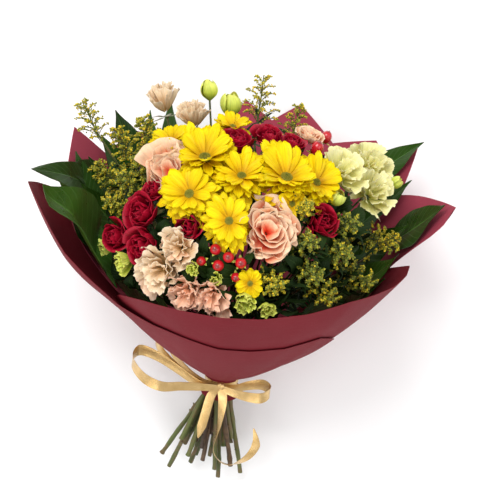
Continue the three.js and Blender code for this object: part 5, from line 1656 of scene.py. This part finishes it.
def paper_place(degrees, along, layer):
    """A place on a sheet, pleated above the tie and wavy further up."""
    loose = smoothstep(along, 0, 45)
    pitch = lerp(*PAPER_PITCH, loose)
    lift = 0 if layer else lerp(SKIRT_LIFT, 0, loose)
    to_corner = np.exp(-(((degrees - CORNER_ANGLE) / 28) ** 2))
    flare = 0 if layer else CORNER_FLARE * smoothstep(along, 90, 170) * to_corner
    floor = PAPER_THICKNESS / 2 + (PAPER_PITCH[1] if layer == 3 else 0)
    if layer == 2:
        near_spike = np.clip((SPIKE_SPAN[1] - degrees) / (SPIKE_SPAN[1] - SPIKE_SPAN[0]), 0, 1)
        degrees = degrees - SPIKE_LEAN * near_spike * smoothstep(along, 142, 268)
    a = np.radians(degrees)
    pleat = 0.55 * np.sin(19 * a + 2.0) + 0.35 * np.sin(31 * a + 0.7)
    pleat = pleat * smoothstep(along, 4, 30) * (1 - smoothstep(along, 50, 150)) * 2.2
    wave = 1.3 * np.sin(7 * a + along * 0.021) + 0.9 * np.sin(11 * a - along * 0.034 + 1.0)
    wave = wave * smoothstep(along, 30, 120)
    return on_bowl(degrees, along, layer * pitch - flare - lift - pleat - wave, floor)


# The widest step between columns of a sheet, in degrees, and how much of a sheet's bend lies in its folds
PAPER_STEP = 1.6
FOLDED = 0.55


def add_paper(pile, layer, rim):
    """A sheet, folded along the lines that run down from the corners of its rim."""
    rim = np.array(rim, float)
    start = -COLLAR_LENGTH if layer else SKIRT_START
    columns = []
    for (a, top), (b, other) in zip(rim, rim[1:]):
        steps = max(5, int((b - a) / PAPER_STEP))
        for k in range(steps):
            columns.append((lerp(a, b, k / steps), lerp(top, other, k / steps), a, b, k / steps))
    columns.append((*rim[-1], rim[-1, 0], rim[-1, 0], 0.0))
    share = np.linspace(0, 1, 42) ** 1.15
    parts = []
    for degrees, top, a, b, k in columns:
        along = lerp(start, top, share)
        smooth = paper_place(degrees, along, layer)
        chord = lerp(paper_place(a, along, layer), paper_place(b, along, layer), k)
        parts.append(lerp(smooth, chord, FOLDED))
    grid = np.array(parts)
    v, u = np.meshgrid(np.linspace(0, 1, grid.shape[0]), share, indexing="ij")
    paint = np.stack([u, v, np.full_like(u, layer / 3)], -1)
    add_sheet(pile, grid, PAPER_THICKNESS, edge=0.8, paint=paint)


for name, layer, rim in WRAP:
    pile = Pile()
    add_paper(pile, layer, rim)
    piece(pile, f"{name}_sheet", PAPER, "paper", name, sharp=35)


# The ribbon: a band round the paper's waist, a knot in front, loops to both sides and two tails.
# Its places are [to the right, to the front, along the axis] from the tie.

RIBBON_WIDTH = 10.5
LOOP_SWELL = 0.42
BAND_RADIUS = 19
BAND_SPAN = (-10.4, -3.4)
# How far each strip of the knot slants to the side, and how far up it lies
KNOT_STRIPS = ((-1.2, 0.6), (0.4, 1.4), (-0.4, 0.9))
TWINE_RADIUS = 13.5
TWINE_THICKNESS = 1.24
TWINE_SPAN = (-4.4, -1.6)
LOOPS = [
    [
        (-1, 24, -8.7), (-22, 26, -9.3), (-45, 31, -8.7), (-68, 41, -6), (-90, 33, -2), (-105, 13, 5),
        (-99, -5, 10), (-76, -1, 7), (-48, 10, -2), (-24, 21, -8.7), (-1, 22.8, -8.7),
    ],
    [
        (-1, 20.4, -8.7), (-24, 13, -9.3), (-50, -6, -2), (-70, -24, 16), (-82, -24, 18), (-72, -10, 7),
        (-46, 4, -7), (-24, 17.5, -9.3), (-1, 21.6, -8.7),
    ],
    [
        (1, 20.8, -8.7), (16, 20.5, -8.7), (32, 19, -3), (48, 25, 4), (57, 36, 3), (49, 45, -1), (34, 41, -5),
        (17, 31, -8.7), (1, 24, -8.7),
    ],
]
SHORT_TAIL = [(-4, 23, -9), (-10, 27, -20), (-14, 32, -46), (-18, 34, -74)]
# The long tail's places from the point under the eye, and the direction of its width at each
LONG_TAIL = [
    ((-22, -169, 95), (1, 0, 0)),
    ((-20, -185, 93), (1, 0, 0.3)),
    ((-24, -214, 82), (0.5, 0, 1)),
    ((-31, -242, 72), (0, 0.2, 1)),
    ((-25, -257, 64), (0, 0, 1)),
    ((-13, -263, 58), (0, 0, 1)),
    ((0, -260, 53), (-0.05, 0.5, 0.85)),
    ((12, -252, 50), (-0.5, 0.65, 0.55)),
    ((19, -239, 49), (-0.95, 0.25, 0.25)),
    ((16, -221, 52), (-1, -0.1, 0)),
]


def in_bouquet(place):
    """Places given to the right, to the front and along the axis from the tie."""
    right, front, along = np.moveaxis(np.asarray(place, float), -1, 0)
    return TIE + AXIS * along[..., None] + SIDE * right[..., None] + FRONT * front[..., None]


def add_ribbon(pile, centres, widths, per=7, tip=None, pinch=0.0, swell=0.0):
    """A strip of ribbon along centres, with the direction of its width at each."""
    n = (len(centres) - 1) * per + 1
    share = np.linspace(0, 1, n)
    middle = along_curve(centres, share)
    side = unit(along_curve(widths, share))
    half = RIBBON_WIDTH / 2 * (1 + swell * np.sin(share * math.pi) ** 2)
    if pinch:
        half = half * (1 - pinch * np.exp(-share * 14)) * (1 - pinch * np.exp(-(1 - share) * 14))
    if tip is not None:
        half = half * np.interp(share, [0, 1 - tip, 1], [1, 1, 0.06])
    u = np.linspace(-1, 1, 9)
    bow = 0.35 * (1 - u**2)
    ahead = unit(np.gradient(middle, axis=0))
    normal = unit(np.cross(ahead, side))
    add_sheet(pile, spread(middle, side, half[:, None] * u, normal, bow[None]), 0.5, edge=0.7)


def about_axis(angles, radius, along):
    """Places round the axis, turned from its front side towards its right."""
    spokes = FRONT * np.cos(angles)[:, None] + SIDE * np.sin(angles)[:, None]
    return TIE + AXIS * along[:, None] + spokes * radius[:, None]


def add_band(pile):
    """The band: a slightly bulging, slightly wavy ring."""
    across = np.linspace(0, 1, 9)
    along = lerp(*BAND_SPAN, across)
    rings = []
    for angle in np.linspace(0, TURN, 65):
        radius = BAND_RADIUS + 0.45 + 0.25 * np.sin(across * math.pi) + 0.25 * math.sin(angle * 7)
        rings.append(about_axis(np.full(9, angle), radius, along))
    add_sheet(pile, np.array(rings), 0.6, edge=0.9)


def add_knot(pile):
    """The knot: three strips side by side, bent over the front of the band."""
    across = np.linspace(-3.4, 3.4, 9)
    for k, (low, high) in enumerate(KNOT_STRIPS):
        rows = []
        for t in np.linspace(-1.75, 1.75, 17):
            right = across + low * math.sin(t)
            front = 21.2 + 4.0 * np.cos(t * 0.9) + 0.3 * k + 0.7 * np.cos(across * 1.3 + k * 2)
            along = np.full(9, -7.2 + high + 4.2 * math.sin(t))
            rows.append(in_bouquet(np.stack([right, front, along], -1)))
        add_sheet(pile, np.array(rows), 0.5, edge=0.7)


def ribbon():
    pile = Pile()
    add_band(pile)
    for loop in LOOPS:
        add_ribbon(pile, in_bouquet(loop), np.tile(AXIS, (len(loop), 1)), 11, pinch=0.3, swell=LOOP_SWELL)
    add_ribbon(pile, in_bouquet(SHORT_TAIL), np.tile(SIDE, (len(SHORT_TAIL), 1)), 12, tip=0.2)
    centres, widths = np.moveaxis(np.array(LONG_TAIL, float), 1, 0)
    add_ribbon(pile, centres, widths, 9, tip=0.12)
    add_knot(pile)
    piece(pile, "ribbon_bow", RIBBON, "ribbon", "ribbon")


def twine():
    """Three turns of twine round the stems at the waist."""
    pile = Pile()
    angles = np.linspace(0, TURN * 3, 150)
    radius = TWINE_RADIUS + 0.15 * np.sin(angles * 5)
    along = np.linspace(*TWINE_SPAN, len(angles))
    add_tube(pile, about_axis(angles, radius, along), TWINE_THICKNESS / 2, 7)
    piece(pile, "binding_twine_turns", TWINE, "twine", "binding_twine")


ribbon()
twine()


# Floor, light and camera

FLOOR_SIZE = 8
FLOOR_TONES = (0.3, (0.93, 0.93, 0.93)), (0.7, (0.95, 0.95, 0.95))
WORLD_STRENGTH = 0.75
# Square lights: name, place, size and watts. All of them aim at the bouquet's middle.
LIGHTS = [
    ("key", (-0.5, 1.2, 2.2), 1.2, 36),
    ("fill", (1.4, -0.3, 1.9), 1.6, 9),
    ("front", (-1.2, -1.1, 1.7), 1.6, 17),
]
LIGHT_AIM = (0, 0, 0.15)
LENS = 150
FILM_WIDTH = 36
FARTHEST = 20


def setting():
    bpy.ops.mesh.primitive_plane_add(size=FLOOR_SIZE, location=(0, 0, 0))
    floor = bpy.context.object
    floor.name = "floor"
    look = Look("pale_floor", Roughness=0.9)
    floor.data.materials.append(look.finish(look.ramp(look.noise(3.0, 3.0), *FLOOR_TONES)))

    world = bpy.data.worlds.new("studio")
    bpy.context.scene.world = world
    world.use_nodes = True
    background = world.node_tree.nodes["Background"]
    background.inputs["Color"].default_value = (1, 1, 1, 1)
    background.inputs["Strength"].default_value = WORLD_STRENGTH
    bpy.context.scene.view_settings.view_transform = "Standard"

    for name, place, size, watts in LIGHTS:
        light = bpy.data.lights.new(name, "AREA")
        light.size = size
        light.energy = watts
        lamp = bpy.data.objects.new(name, light)
        bpy.context.collection.objects.link(lamp)
        lamp.location = place
        way = Vector(LIGHT_AIM) - Vector(place)
        lamp.rotation_euler = way.to_track_quat("-Z", "Y").to_euler()

    camera = bpy.data.objects.new("camera", bpy.data.cameras.new("camera"))
    bpy.context.collection.objects.link(camera)
    camera.location = (EYE + SHIFT) * METRES
    camera.data.lens = LENS
    camera.data.sensor_width = FILM_WIDTH
    camera.data.clip_end = FARTHEST
    bpy.context.scene.camera = camera


setting()
